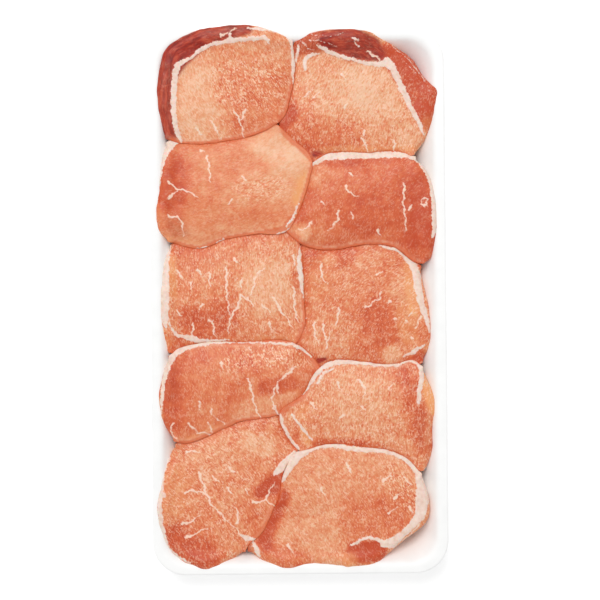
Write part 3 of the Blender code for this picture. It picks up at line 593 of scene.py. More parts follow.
    # Of these layers the lip's glow is a painted highlight, the crease's red a painted shade, and amber
    # partly a painted glow.
    for share, layer in (
            (maroon, dark), (amber, look.amber_colour), (flecks, look.marbling_and_lip_highlight_colour),
            (glow, look.marbling_and_lip_highlight_colour), (crease_shade, look.crease_shade_colour), (veins, look.vein_colour),
            (seams, white)):
        colour = node(MIX, {0: share, 6: colour, 7: layer}, data_type="RGBA").outputs[2]

    # Wetter and drier patches round the middle roughness, and a fine relief of fibres and flecks.
    gloss = node(MATH, {0: curd, 1: 0.5, 2: look.roughness - 0.25}, operation="MULTIPLY_ADD")
    height = node(MATH, {0: flecks, 1: 0.4, 2: fibre}, operation="MULTIPLY_ADD")
    bump = node("ShaderNodeBump", {"Height": height, "Strength": 0.35, "Distance": 0.25 * MM})
    tree.links.new(colour, shader.inputs["Base Color"])
    tree.links.new(gloss.outputs[0], shader.inputs["Roughness"])
    tree.links.new(bump.outputs[0], shader.inputs["Normal"])
    return material


# Brush strokes ----------------------------------------------------------------------------------------

FAR = 30.0
VEIN_TAPER = 0.55


def stroke_distance(places, stroke):
    """Distance from each place to a brush stroke of tapering half-width, negative inside it."""
    points = np.array(stroke, dtype=float)
    if len(points) == 1:
        return np.linalg.norm(places - points[0, :2], axis=1) - points[0, 2]
    nearest = np.full(len(places), FAR)
    for start, end in zip(points, points[1:]):
        run = end[:2] - start[:2]
        along = np.clip((places - start[:2]) @ run / (run @ run), 0.0, 1.0)
        gap = np.linalg.norm(places - start[:2] - along[:, None] * run, axis=1)
        nearest = np.minimum(nearest, gap - (start[2] + along * (end[2] - start[2])))
    return nearest


def unsteady(places, reach):
    """Places shifted by slow waves, so that a stroke read through them isn't ruler-straight."""
    x, y = places.T
    shift_x = np.sin(0.9 * y + 0.4 * x) + 0.5 * np.sin(2.3 * y - 1.1 * x)
    shift_y = np.sin(0.8 * x - 0.5 * y) + 0.5 * np.sin(2.1 * x + 1.3 * y)
    return places + reach * np.stack([shift_x, shift_y], axis=1)


def vein_stroke(points, half_width):
    """A vein's points with half-widths that taper towards its far end."""
    last = len(points) - 1
    return [(x, y, half_width * (1.0 - VEIN_TAPER * i / last)) for i, (x, y) in enumerate(points)]


def nearest_stroke(places, strokes):
    distances = [stroke_distance(places, stroke) for stroke in strokes]
    return np.min([np.full(len(places), FAR)] + distances, axis=0)


def shaded(places, base, shades):
    """Base value plus each shade, at each place."""
    value = np.full(len(places), float(base))
    for amount, softness, stroke in shades:
        beyond = np.maximum(stroke_distance(places, stroke), 0.0) / softness
        value += amount * np.exp(-2.0 * beyond ** 2)
    return value


FIBRE_STRETCH = 2.3
CAP_STRETCH = 6.0


def fibre_coordinates(places, angle, bend, in_cap, depth):
    """Millimetre coordinates with X along the muscle fibres, squeezed to draw patterns out along them.

    In the loin they run at an angle and bend; in the cap they follow the chop's edge.
    """
    turn = math.radians(angle)
    offset = places - places.mean(axis=0)
    along = offset @ np.array((math.cos(turn), math.sin(turn)))
    across = offset @ np.array((-math.sin(turn), math.cos(turn))) + 0.001 * bend * along ** 2
    round_edge = np.hypot(offset[:, 0], offset[:, 1]).max() * np.arctan2(offset[:, 1], offset[:, 0])
    along = np.where(in_cap, round_edge / CAP_STRETCH, along / FIBRE_STRETCH)
    across = np.where(in_cap, depth, across)
    return np.stack([along, across, np.zeros(len(places))], axis=1)


# Chops' shapes ----------------------------------------------------------------------------------------

# The grid, and the meshes' rings of vertices.
CELL = 1.0
MAP_MARGIN = 8
OUTLINE_MARGIN = 6
OUTLINE_POINTS = 480
EDGE_RINGS = (0.1, 0.25, 0.5, 0.8, 1.2, 1.7, 2.3, 3.0, 3.8, 4.7, 5.7)
RING_SPACING = 0.55
UNDERSIDE_SPACING = 2.5
HALVING_SHARE = 0.6
FEWEST_POINTS = 30

# Where the solid's rounded edge ends, and how uneven the outline is.
CORE_DEPTH = 6.5
UNEVENNESS = 0.9
UNEVEN_WAVES = range(7, 50, 3)

# How a chop thins towards an edge that lies on another, and how each kind of edge is rounded.
LIP_REACH = 30.0
LIP_THICKNESS = 1.0
LIP_BLEND = 4.0
HELD_BLEND = 12.0
HELD_ROUND = 0.5
FREE_ROUND = 5.0
ABUT_REACH = 3.5
ABUT_DROP = 0.9
GAP_SHARE = 0.55
SETTLE_PASSES = 3

# Colours, painted shade and painted highlight near the edges, and relief.
# Painted shade: meat is redder where another chop's edge lies on it, fading over the reach.
PAINTED_SHADE_REACH = 5.0
PAINTED_SHADE_REDNESS = 0.14
# Painted shade in the crease under another chop's edge, and along a lip's own edge.
CREASE_SHADE_WIDTH = 0.6
LIP_EDGE_SHADE_WIDTH = 0.35
LIP_EDGE_SHADE = 0.4
# Painted highlight along a thin lip: how far in it lies and how wide it is.
LIP_DEPTH = 1.6
LIP_WIDTH = 1.3
FACE_EDGE = 1.5
FAT_WAVER = 0.25
VEIN_WAVER = 0.5


def vertex_array(mesh):
    values = np.zeros(len(mesh.vertices) * 3)
    mesh.vertices.foreach_get("co", values)
    return values.reshape(-1, 3)


def blurred(values, passes, axes=(0,)):
    """Values blurred along the axes, which wrap round."""
    for _ in range(passes):
        for axis in axes:
            values = 0.5 * values + 0.25 * (np.roll(values, 1, axis) + np.roll(values, -1, axis))
    return values


def spread_outwards(field, rings):
    """Fill a map's empty cells ring by ring with their filled neighbours' mean, and the rest with 0."""
    filled = field.copy()
    for _ in range(rings):
        known = ~np.isnan(filled)
        total = np.zeros_like(filled)
        count = np.zeros_like(filled)
        for shift in ((0, 1), (0, -1), (1, 0), (-1, 0)):
            total += np.roll(np.where(known, filled, 0.0), shift, axis=(0, 1))
            count += np.roll(known.astype(float), shift, axis=(0, 1))
        edge = ~known & (count > 0)
        filled[edge] = total[edge] / count[edge]
    return np.nan_to_num(filled)


def bulge(ratio):
    """Quarter-circle rise from 0 at an edge to 1 at the rounding's full depth."""
    return np.sqrt(1.0 - (1.0 - np.clip(ratio, 0.0, 1.0)) ** 2)


def depth_inside(places, outline):
    """Distance in from a closed outline, negative outside it."""
    edge = np.roll(outline, -1, axis=0) - outline
    offset = places[:, None, :] - outline[None, :, :]
    along = np.clip((offset * edge).sum(axis=2) / (edge * edge).sum(axis=1), 0.0, 1.0)
    distance = np.linalg.norm(offset - along[:, :, None] * edge, axis=2).min(axis=1)
    below = offset[:, :, 1] < 0
    rise = np.where(edge[:, 1] == 0, 1.0, edge[:, 1])
    left = offset[:, :, 0] < offset[:, :, 1] / rise * edge[:, 0]
    inside = ((below != np.roll(below, -1, axis=1)) & left).sum(axis=1) % 2 == 1
    return np.where(inside, distance, -distance)


def smooth_cage(node):
    """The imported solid's mesh as quads with its facets smoothed away."""
    bm = bmesh.new()
    bm.from_mesh(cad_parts[node].data)
    bmesh.ops.remove_doubles(bm, verts=bm.verts, dist=0.01 * MM)
    limit = math.radians(60)
    bmesh.ops.join_triangles(bm, faces=bm.faces, angle_face_threshold=limit, angle_shape_threshold=limit)
    cage = add_object("cage", bpy.data.meshes.new("cage"))
    bm.to_mesh(cage.data)
    bm.free()
    smooth = cage.modifiers.new("smooth", "SUBSURF")
    smooth.levels = 2
    smooth.render_levels = 2
    apply_modifiers(cage)
    mesh = cage.data
    bpy.data.objects.remove(cage)
    return mesh


class Layout:
    """A grid of cells over the tray, on which heights are mapped in millimetres."""

    def __init__(self, low, high):
        x = np.arange(low.x / MM - MAP_MARGIN, high.x / MM + MAP_MARGIN, CELL)
        y = np.arange(low.y / MM - MAP_MARGIN, high.y / MM + MAP_MARGIN, CELL)
        self.corner = np.array((x[0], y[0]))
        self.cells = np.stack(np.meshgrid(x, y), axis=-1)
        self.shape = self.cells.shape[:2]

    def sample(self, field, places):
        """Map read at places, blended between its cells."""
        spot = (places - self.corner) / CELL
        column = np.clip(spot[:, 0], 0, self.shape[1] - 1.001)
        row = np.clip(spot[:, 1], 0, self.shape[0] - 1.001)
        i, j = row.astype(int), column.astype(int)
        u, v = row - i, column - j
        near = field[i, j] * (1 - v) + field[i, j + 1] * v
        far = field[i + 1, j] * (1 - v) + field[i + 1, j + 1] * v
        return near * (1 - u) + far * u


class Chop:
    """One chop's outline, and maps of its heights before and after it lies down on its neighbours."""

    def __init__(self, node, nudges, layout, random):
        self.node = node
        mesh = smooth_cage(node)
        coords = vertex_array(mesh) / MM
        self.centre = coords[:, :2].mean(axis=0)
        pairs = np.array([edge.vertices for edge in mesh.edges])
        self.outline = self.silhouette(coords[pairs, :2], nudges, random)
        self.map_depth(layout)
        cells = layout.cells.reshape(-1, 2)
        tree = BVHTree.FromPolygons([v.co for v in mesh.vertices], [p.vertices for p in mesh.polygons])
        top = np.full(len(cells), np.nan)
        bottom = np.full(len(cells), np.nan)
        for i in np.flatnonzero(self.covered):
            x, y = cells[i] * MM
            above = tree.ray_cast(Vector((x, y, 1.0)), Vector((0, 0, -1)))[0]
            under = tree.ray_cast(Vector((x, y, -1.0)), Vector((0, 0, 1)))[0]
            if above and under:
                top[i] = above.z / MM
                bottom[i] = under.z / MM
        top, bottom = top.reshape(layout.shape), bottom.reshape(layout.shape)
        self.order = spread_outwards(top, 4)
        core = self.depth > CORE_DEPTH
        self.top, self.bottom = (
            blurred(spread_outwards(np.where(core, field, np.nan), 20), 2, (0, 1))
            for field in (top, bottom))
        self.laid_top = self.top.copy()
        self.laid_bottom = self.bottom.copy()
        self.held = np.zeros(layout.shape)

    def silhouette(self, edges, nudges, random):
        """Closed outline through the farthest edge in each direction, nudged and made slightly uneven."""
        start, end = edges[:, 0] - self.centre, edges[:, 1] - self.centre
        turns = np.linspace(0.0, math.tau, OUTLINE_POINTS, endpoint=False)
        radius = np.zeros(OUTLINE_POINTS)
        for i, turn in enumerate(turns):
            ahead = np.array((math.cos(turn), math.sin(turn)))
            across = np.array((-ahead[1], ahead[0]))
            left, right = start @ across, end @ across
            cut = np.flatnonzero(left * right < 0)
            share = left[cut] / (left[cut] - right[cut])
            radius[i] = ((1 - share) * (start[cut] @ ahead) + share * (end[cut] @ ahead)).max()
        radius = blurred(radius, 4)
        for waves in UNEVEN_WAVES:
            radius += UNEVENNESS / waves * np.cos(waves * turns + random.uniform(0, math.tau))
        outline = self.centre + radius[:, None] * np.stack([np.cos(turns), np.sin(turns)], axis=1)
        for x, y, softness, shift_x, shift_y in nudges:
            weight = np.exp(-(np.hypot(*(outline - (x, y)).T) / softness) ** 2)
            outline += weight[:, None] * (shift_x, shift_y)
        return outline

    def close_up(self, chops, layout):
        """Rather more than half the way that each outline point has to move out to touch a neighbour."""
        others = [other for other in chops if other is not self]
        beside = np.max([layout.sample(other.depth, self.outline) for other in others], axis=0)
        outward = self.outline - self.centre
        outward /= np.linalg.norm(outward, axis=1)[:, None]
        gap = np.where((beside < 0) & (beside > -ABUT_REACH), GAP_SHARE * -beside, 0.0)
        return blurred(gap, 3)[:, None] * outward

    def map_depth(self, layout):
        """Map the depth inside the outline over the cells round it."""
        cells = layout.cells.reshape(-1, 2)
        low = self.outline.min(axis=0) - OUTLINE_MARGIN
        high = self.outline.max(axis=0) + OUTLINE_MARGIN
        self.near = np.flatnonzero(((cells > low) & (cells < high)).all(axis=1))
        depth = np.full(len(cells), -FAR)
        depth[self.near] = depth_inside(cells[self.near], self.outline[::3])
        self.depth = depth.reshape(layout.shape)
        self.covered = self.depth > 0.0

    def lie_down(self, chops, layout):
        """Lay the chop on those beneath it, so that its edge ends there in a soft low lip."""
        ground = np.full(layout.shape, -FAR)
        beside = np.full(len(self.outline), -FAR)
        for other in chops:
            if other is not self:
                beneath = other.covered & (other.order < self.order)
                ground = np.where(beneath, np.maximum(ground, other.laid_top), ground)
                beside = np.maximum(beside, layout.sample(other.depth, self.outline))
        over = ground > 0
        inward = self.centre - self.outline
        step = self.outline + inward / np.linalg.norm(inward, axis=1)[:, None]
        held = layout.sample(over.astype(float), step) > 0.5
        ground = blurred(spread_outwards(np.where(over, ground, np.nan), 12), 3, (0, 1))
        self.edge_held = blurred(held.astype(float), 6)
        self.edge_abuts = blurred(((beside > -ABUT_REACH) & ~held).astype(float), 4)
        self.laid_top = self.top.copy()
        self.laid_bottom = self.bottom.copy()
        if held.any():
            self.thin_to_lip(held, layout.sample(ground, step), layout)

        # Nowhere lower than what it lies on, and nowhere thinner than most of a lip.
        under = np.clip(1.6 * blurred(over.astype(float), 6, (0, 1)) - 0.1, 0.0, 1.0)
        draped = np.maximum(self.laid_top, ground * under + 0.8 * LIP_THICKNESS)
        self.laid_top = np.where(under > 0, draped, self.laid_top)
        self.laid_bottom += under * (ground + 0.1 - self.laid_bottom)
        self.laid_bottom = np.minimum(self.laid_bottom, self.laid_top - 0.7 * LIP_THICKNESS)

    def thin_to_lip(self, held, ground, layout):
        """Thin the face towards the held part of the outline, to a lip's thickness above the ground."""
        places = layout.cells.reshape(-1, 2)[self.near]
        to_held = np.linalg.norm(places[:, None] - self.outline[held][None, ::3], axis=2)
        to_free = np.linalg.norm(places[:, None] - self.outline[~held][None, ::3], axis=2).min(axis=1)
        nearest = to_held.min(axis=1)
        share = np.exp(-(to_held - nearest[:, None]) / LIP_BLEND)
        lip = share @ ground[held][::3] / share.sum(axis=1) + LIP_THICKNESS
        rise = 1.0 - (1.0 - np.clip(nearest / LIP_REACH, 0.0, 1.0)) ** 2
        weight = np.clip((to_free - nearest) / HELD_BLEND + 0.5, 0.0, 1.0)
        weight = weight * weight * (3.0 - 2.0 * weight)
        top = self.top.ravel()[self.near]
        thin = np.minimum(lip + rise * (top - lip), top)
        self.laid_top.ravel()[self.near] = top + weight * (thin - top)
        self.held.ravel()[self.near] = weight

    def rim(self, layout):
        """Height of the outline, and the width of the rounding above it."""
        top = layout.sample(self.laid_top, self.outline)
        bottom = layout.sample(self.laid_bottom, self.outline)
        height = 0.5 * (top + bottom)
        height += self.edge_abuts * (np.maximum(top - ABUT_DROP, bottom) - height)
        height += self.edge_held * (bottom - height)
        close = np.clip(self.edge_held + self.edge_abuts, 0.0, 1.0)
        return blurred(height, 3), FREE_ROUND + close * (HELD_ROUND - FREE_ROUND)

    def mesh(self, layout):
        """Closed mesh of rings over the chop's face and under it, and each vertex's depth on the face."""
        rim, rounding = self.rim(layout)
        ray = self.outline - self.centre
        length = np.hypot(*ray.T)
        tangent = blurred(np.roll(self.outline, -1, axis=0) - np.roll(self.outline, 1, axis=0), 4)
        crossing = np.abs(ray[:, 0] * tangent[:, 1] - ray[:, 1] * tangent[:, 0])
        squareness = crossing / length / np.hypot(*tangent.T)
        coords = [np.column_stack([self.outline, rim])]
        insets = [np.zeros(OUTLINE_POINTS)]
        count = OUTLINE_POINTS
        faces = []
        spacing = RING_SPACING
        sides = ((True, spacing, self.laid_top, rounding),
                 (False, UNDERSIDE_SPACING, self.laid_bottom, np.full(OUTLINE_POINTS, FREE_ROUND)))
        for is_face, gap, surface, width in sides:
            inner = length - EDGE_RINGS[-1]
            shares = np.arange(gap, inner.mean(), gap) / inner.mean()
            rings = [np.full(OUTLINE_POINTS, inset) for inset in EDGE_RINGS[::1 if is_face else 3]]
            rings += [EDGE_RINGS[-1] + share * inner for share in shares] + [length]
            outer = np.arange(OUTLINE_POINTS)
            for ring in rings:
                step = OUTLINE_POINTS // len(outer)
                around = math.tau * (length - ring).mean() / len(outer)
                if around < HALVING_SHARE * spacing and len(outer) > FEWEST_POINTS:
                    step *= 2
                pick = np.arange(0, OUTLINE_POINTS, step)
                if ring is rings[-1]:
                    pick = pick[:1]
                places = self.outline[pick] - ray[pick] * (ring / length)[pick, None]
                share = np.clip(ring[pick] / FREE_ROUND, 0.0, 1.0)
                near_edge = ring[pick] * squareness[pick]
                depth = (1 - share) * near_edge + share * layout.sample(self.depth, places)
                target = layout.sample(surface, places)
                if not is_face:
                    target = np.minimum(target, rim[pick])
                height = rim[pick] + (target - rim[pick]) * bulge(depth / width[pick])
                inner_ids = count + np.arange(len(pick))
                count += len(pick)
                coords.append(np.column_stack([places, height]))
                insets.append(np.maximum(depth, 0.0) if is_face else np.zeros(len(pick)))
                faces += ring_faces(outer, inner_ids, is_face)
                outer = inner_ids
        mesh = bpy.data.meshes.new(self.node)
        mesh.from_pydata(np.concatenate(coords) * MM, [], faces)
        return mesh, np.concatenate(insets)

    def covered_edge(self, chops, layout, width):
        """Map of 1 where another chop's edge lies on this one, fading out over the width beyond it."""
        line = np.zeros(layout.shape)
        for other in chops:
            if other is not self:
                over = (other.covered & (other.order > self.order)).astype(float)
                near = blurred(over, 8, (0, 1)) > 0.001
                line = np.maximum(line, near * np.exp(-(np.minimum(other.depth, 0.0) / width) ** 2))
        return line


def ring_faces(outer, inner, upwards):
    """Faces between two closed rings of vertices; the inner one has as many, half as many or one."""
    beyond = np.roll(outer, -1)
    if len(inner) == len(outer):
        strips = [(outer, beyond, np.roll(inner, -1), inner)]
    elif len(inner) == 1:
        strips = [(outer, beyond, np.repeat(inner, len(outer)))]
    else:
        after = np.roll(inner, -1)
        strips = [(outer[::2], outer[1::2], inner), (outer[1::2], after, inner),
                  (outer[1::2], beyond[1::2], after)]
    faces = [face for strip in strips for face in np.stack(strip, axis=1).tolist()]
    return faces if upwards else [face[::-1] for face in faces]


def relief_tree(look, material):
    """Geometry tree that moves a chop's face along its normals: swells, fibres, raised fat and veins."""
    inputs = {"Swell Height": look.swell_height * MM, "Swell Size": look.swell_size * MM,
              "Fibre Height": look.fibre_height * MM, "Fibre Size": look.fibre_size,
              "Fat Height": look.fat_height * MM, "Material": material}
    tree, given = new_geometry_tree("meat relief", inputs)
    node = functools.partial(add_node, tree)
    fat, vein, face = (
        node("GeometryNodeInputNamedAttribute", {"Name": name}, data_type="FLOAT")
        for name in ("fat", "vein", "face"))
    fibres = node("GeometryNodeInputNamedAttribute", {"Name": "grain"}, data_type="FLOAT_VECTOR")
    place = node("GeometryNodeInputPosition")
    rise = 0.0
    for vector, label in ((place, "Swell"), (fibres, "Fibre")):
        scale = node(MATH, {0: 1.0, 1: given[label + " Size"]}, operation="DIVIDE")
        waves = node(NOISE, {"Vector": vector, "Scale": scale, "Detail": 2.0})
        centred = node(MATH, {0: waves, 1: 0.5}, operation="SUBTRACT")
        rise = node(MATH, {0: centred, 1: given[label + " Height"], 2: rise}, operation="MULTIPLY_ADD")

    # Fat and veins rise over the distance from their edge, veins half as far.
    for line, edge, share in ((fat, (0.6, -0.8), 1.0), (vein, (0.6, -0.4), 0.5)):
        raised = node(RANGE, {0: line, 1: edge[0], 2: edge[1]}, interpolation_type="SMOOTHSTEP")
        raised = node(MATH, {0: raised, 1: share}, operation="MULTIPLY")
        rise = node(MATH, {0: raised, 1: given["Fat Height"], 2: rise}, operation="MULTIPLY_ADD")
    rise = node(MATH, {0: rise, 1: face}, operation="MULTIPLY")
    normal = node("GeometryNodeInputNormal")
    offset = node("ShaderNodeVectorMath", {0: normal, "Scale": rise}, operation="SCALE")
    moved = node(MOVE, {"Geometry": given["Geometry"], "Offset": offset})
    close_geometry_tree(tree, moved, given["Material"])
    return tree, inputs


def make_chop(name, look, chop, chops, layout, sizes, relief):
    """One chop's finished piece, with the attributes that its material reads."""
    mesh, depth = chop.mesh(layout)
    places = vertex_array(mesh)[:, :2] / MM
    veins = [vein_stroke(points, sizes.vein_width / 2) for points in look["veins"]]
    held = layout.sample(chop.held, places)
    # Painted shade: a thin line along the lip's own edge, and a crease where another chop's edge lies.
    lip_edge_shade = LIP_EDGE_SHADE * held * np.exp(-(depth / LIP_EDGE_SHADE_WIDTH) ** 2)
    crease_shade = layout.sample(chop.covered_edge(chops, layout, CREASE_SHADE_WIDTH), places)
    marbling = np.clip(shaded(places, look["marbling"], look["mottled"]), 0.0, 1.4)
    redness = shaded(places, look["redness"], look["shades"])
    # Painted shade: redder meat near where another chop's edge lies on this one.
    redness += PAINTED_SHADE_REDNESS * layout.sample(chop.covered_edge(chops, layout, PAINTED_SHADE_REACH), places)
    maroon = np.clip(shaded(places, 0.0, look["maroon"]), 0.0, 1.0)
    levels = {
        "fat": nearest_stroke(unsteady(places, FAT_WAVER), look["fat"]),
        "vein": nearest_stroke(unsteady(places, VEIN_WAVER), veins),
        "redness": redness,
        "maroon": maroon,
        "amber": np.clip(shaded(places, 0.0, look["amber"]), 0.0, 1.0),
        "marbling": marbling * np.clip(1.4 - redness, 0.3, 1.0) * (1.0 - 0.93 * maroon),
        # Painted shade in the creases, and painted highlight along thin lips.
        "crevice_shade": np.maximum(lip_edge_shade, crease_shade),
        "lip": held * np.exp(-((depth - LIP_DEPTH) / LIP_WIDTH) ** 2),
        "face": np.clip(depth / FACE_EDGE, 0.0, 1.0),
    }
    for label, values in levels.items():
        mesh.attributes.new(label, "FLOAT", "POINT").data.foreach_set("value", values.astype(np.float32))
    within = layout.sample(chop.depth, places)
    grain = fibre_coordinates(places, *look["grain"], levels["maroon"] > 0.5, within).astype(np.float32)
    mesh.attributes.new("grain", "FLOAT_VECTOR", "POINT").data.foreach_set("vector", grain.ravel())
    piece = add_object("pork_chop_" + name, mesh)
    run_geometry_tree(piece, *relief)
    finish_piece(piece, chop.node)


# Tray -------------------------------------------------------------------------------------------------

CORNER_TIGHTENING = 0.45
ARC_SHARE = 0.4
PROFILE_STEPS = 28
RIPPLE_SIZE = 28
WELD = 0.3
RIM_EDGE = 1.3


def make_foam(sizes):
    """Expanded polystyrene sheet, thermoformed: matt white with a faint skin of flattened cells."""
    material, tree, shader = new_material("white polystyrene foam", {"Roughness": 0.5, "IOR": 1.45})
    node = functools.partial(add_node, tree)
    place = node("ShaderNodeTexCoord").outputs["Object"]
    patches = node(NOISE, {"Vector": place, "Scale": 1.0 / (12 * MM), "Detail": 3.0})
    shade = node(RANGE, {0: patches, 1: 0.3, 2: 0.7, 3: 0.96, 4: 1.0})
    tint = node("ShaderNodeVectorMath", {0: sizes.foam_colour[:3], "Scale": shade}, operation="SCALE")
    cells = node("ShaderNodeTexVoronoi", {"Vector": place, "Scale": 1.0 / (1.2 * MM)}, feature="SMOOTH_F1")
    bump = node("ShaderNodeBump", {"Height": cells, "Strength": 0.15, "Distance": 0.2 * MM})
    tree.links.new(tint.outputs[0], shader.inputs["Base Color"])
    tree.links.new(bump.outputs[0], shader.inputs["Normal"])
    return material


def tray_tree(inputs):
    """Geometry tree that lofts the tray's upper skin: a wall profile carried round a rounded rectangle."""
    tree, given = new_geometry_tree("formed foam tray", inputs)
    node = functools.partial(add_node, tree)

    # Wall profile: rim, wall top, wall foot and floor, with its two bends rounded.
    wall_foot = node(MATH, {0: given["Rim Width"], 1: given["Wall Run"]})
    floor_end = node(MATH, {0: wall_foot, 1: given["Floor Reach"]})
    corners = [(0.0, given["Height"]), (given["Rim Width"], given["Height"]), (wall_foot, given["Foam"]),
               (floor_end, given["Foam"])]
    pick = node("GeometryNodeIndexSwitch", {"Index": node("GeometryNodeInputIndex")}, data_type="VECTOR")
    for i, (inset, height) in enumerate(corners):
        if i > 1:
            pick.index_switch_items.new()
        tree.links.new(node(XYZ, {0: inset, 2: height}).outputs[0], pick.inputs[1 + i])
    line = node("GeometryNodeMeshLine", {"Count": len(corners)})
    wire = node("GeometryNodeMeshToCurve", {"Mesh": node(MOVE, {"Geometry": line, "Position": pick})})
    profile = node("GeometryNodeFilletCurve", {
        "Curve": wire, "Count": 6, "Radius": given["Bend Radius"], "Limit Radius": True}, mode="POLY")

    # A grid whose X runs round the tray and whose Y runs down the profile.
    around = node(MATH, {0: given["Steps"], 1: 4.0, 2: 1.0}, operation="MULTIPLY_ADD")
    grid = node("GeometryNodeMeshGrid", {"Vertices X": around, "Vertices Y": PROFILE_STEPS})
    part = node("ShaderNodeSeparateXYZ", {0: grid.outputs["UV Map"]}).outputs
    down = node("GeometryNodeSampleCurve", {"Curves": profile, "Factor": part[1]}, mode="FACTOR",
                use_all_curves=True)
    station = node("ShaderNodeSeparateXYZ", {0: down.outputs["Position"]}).outputs
    turns = node(MATH, {0: part[0], 1: 4.0}, operation="MULTIPLY")
    corner = node(MATH, {0: turns}, operation="FLOOR")
    within = node(MATH, {0: node(MATH, {0: turns}, operation="FRACT"), 1: ARC_SHARE}, operation="DIVIDE")
    bent = node(MATH, {0: corner, 1: node(MATH, {0: within, 1: 1.0}, operation="MINIMUM")})
    angle = node(MATH, {0: bent, 1: math.tau / 4}, operation="MULTIPLY")
    past = node(MATH, {0: within, 1: 1.0}, operation="SUBTRACT")
    past = node(MATH, {0: past, 1: ARC_SHARE / (1.0 - ARC_SHARE)}, operation="MULTIPLY", use_clamp=True)

    # Corner radius, which shrinks with the inset down to a limit. Its centre slides along the straights.
    tight = node(MATH, {0: given["Corner Radius"], 1: CORNER_TIGHTENING}, operation="MULTIPLY")
    radius = node(MATH, {0: station[0], 1: -CORNER_TIGHTENING, 2: given["Corner Radius"]},
                  operation="MULTIPLY_ADD")
    radius = node(MATH, {0: radius, 1: tight}, operation="MAXIMUM")
    taken = node(MATH, {0: station[0], 1: radius})
    spot = []
    for size, phase in (("Width", math.tau / 8), ("Length", -math.tau / 8)):
        sides = []
        for turn in (phase, phase + math.tau / 4):
            ahead = node(MATH, {0: corner, 1: math.tau / 4, 2: turn}, operation="MULTIPLY_ADD")
            sides.append(node(MATH, {0: node(MATH, {0: ahead}, operation="COSINE")}, operation="SIGN"))
        change = node(MATH, {0: sides[1], 1: sides[0]}, operation="SUBTRACT")
        side = node(MATH, {0: change, 1: past, 2: sides[0]}, operation="MULTIPLY_ADD")
        reach = node(MATH, {0: node(MATH, {0: given[size], 1: 0.5}, operation="MULTIPLY"), 1: taken},
                     operation="SUBTRACT")
        middle = node(MATH, {0: reach, 1: side}, operation="MULTIPLY")
        swing = node(MATH, {0: angle}, operation="COSINE" if size == "Width" else "SINE")
        spot.append(node(MATH, {0: radius, 1: swing, 2: middle}, operation="MULTIPLY_ADD"))
    loft = node(MOVE, {"Geometry": grid, "Position": node(XYZ, {0: spot[0], 1: spot[1], 2: station[2]})})
    waves = node(NOISE, {"Scale": 1.0 / (RIPPLE_SIZE * MM), "Detail": 1.0})
    waves = node(MATH, {0: waves, 1: 0.5}, operation="SUBTRACT")
    share = node(RANGE, {0: station[2], 1: given["Foam"], 2: given["Height"]})
    waves = node(MATH, {0: waves, 1: share}, operation="MULTIPLY")
    ripple = node(MATH, {0: waves, 1: given["Ripple"]}, operation="MULTIPLY")
    loft = node(MOVE, {"Geometry": loft, "Offset": node(XYZ, {2: ripple})})

    # The floor inside the last ring.
    last = node("FunctionNodeCompare", {0: part[1], 1: 1.0 - 0.5 / PROFILE_STEPS}, operation="GREATER_THAN")
    ring = node("GeometryNodeMeshToCurve", {"Mesh": loft, "Selection": last})
    floor = node("GeometryNodeFillCurve", {"Curve": ring}, mode="NGONS")
    floor = node("GeometryNodeTransform", {"Geometry": floor, "Translation": node(XYZ, {2: given["Foam"]})})
    whole = node("GeometryNodeJoinGeometry", {"Geometry": loft})
    tree.links.new(floor.outputs[0], whole.inputs[0])
    close_geometry_tree(tree, whole, given["Material"])
    return tree


def make_tray(sizes):
    """The tray's upper skin from its tree, closed up, then thickened downwards with a rounded rim."""
    inputs = {
        "Width": TRAY_HIGH.x - TRAY_LOW.x, "Length": TRAY_HIGH.y - TRAY_LOW.y, "Height": TRAY_HIGH.z,
        "Corner Radius": sizes.corner_radius * MM, "Rim Width": sizes.rim_width * MM,
        "Wall Run": sizes.wall_run * MM, "Floor Reach": sizes.floor_reach * MM,
        "Foam": sizes.foam_thickness * MM, "Bend Radius": sizes.bend_radius * MM,
        "Ripple": sizes.ripple * MM, "Steps": sizes.steps, "Material": make_foam(sizes)}
    tray = add_object("foam_tray", bpy.data.meshes.new("foam_tray"))
    run_geometry_tree(tray, tray_tree(inputs), inputs)
    bm = bmesh.new()
    bm.from_mesh(tray.data)
    bmesh.ops.remove_doubles(bm, verts=bm.verts, dist=WELD * MM)
    bmesh.ops.recalc_face_normals(bm, faces=bm.faces)
    floor = max(bm.faces, key=lambda face: face.calc_area())
    if floor.normal.z < 0:
        bmesh.ops.reverse_faces(bm, faces=bm.faces)
    bm.to_mesh(tray.data)
    bm.free()
    shell = tray.modifiers.new("foam thickness", "SOLIDIFY")
    shell.thickness = sizes.foam_thickness * MM
    shell.offset = -1.0
    shell.use_even_offset = True
    rim = tray.modifiers.new("rim edge", "BEVEL")
    rim.width = RIM_EDGE * MM
    rim.segments = 4
    rim.limit_method = "ANGLE"
    rim.angle_limit = math.radians(60)
    apply_modifiers(tray)
    finish_piece(tray, "tray")


# Studio -----------------------------------------------------------------------------------------------

# Metres.
FLOOR_HALF_WIDTH = 3.0
SOFTBOX_SIZE = 1.6
SOFTBOX_PLACE = Vector((-0.5, 1.5, 2.6))
CAMERA_OFFSET = (0.00104, 0.00102)


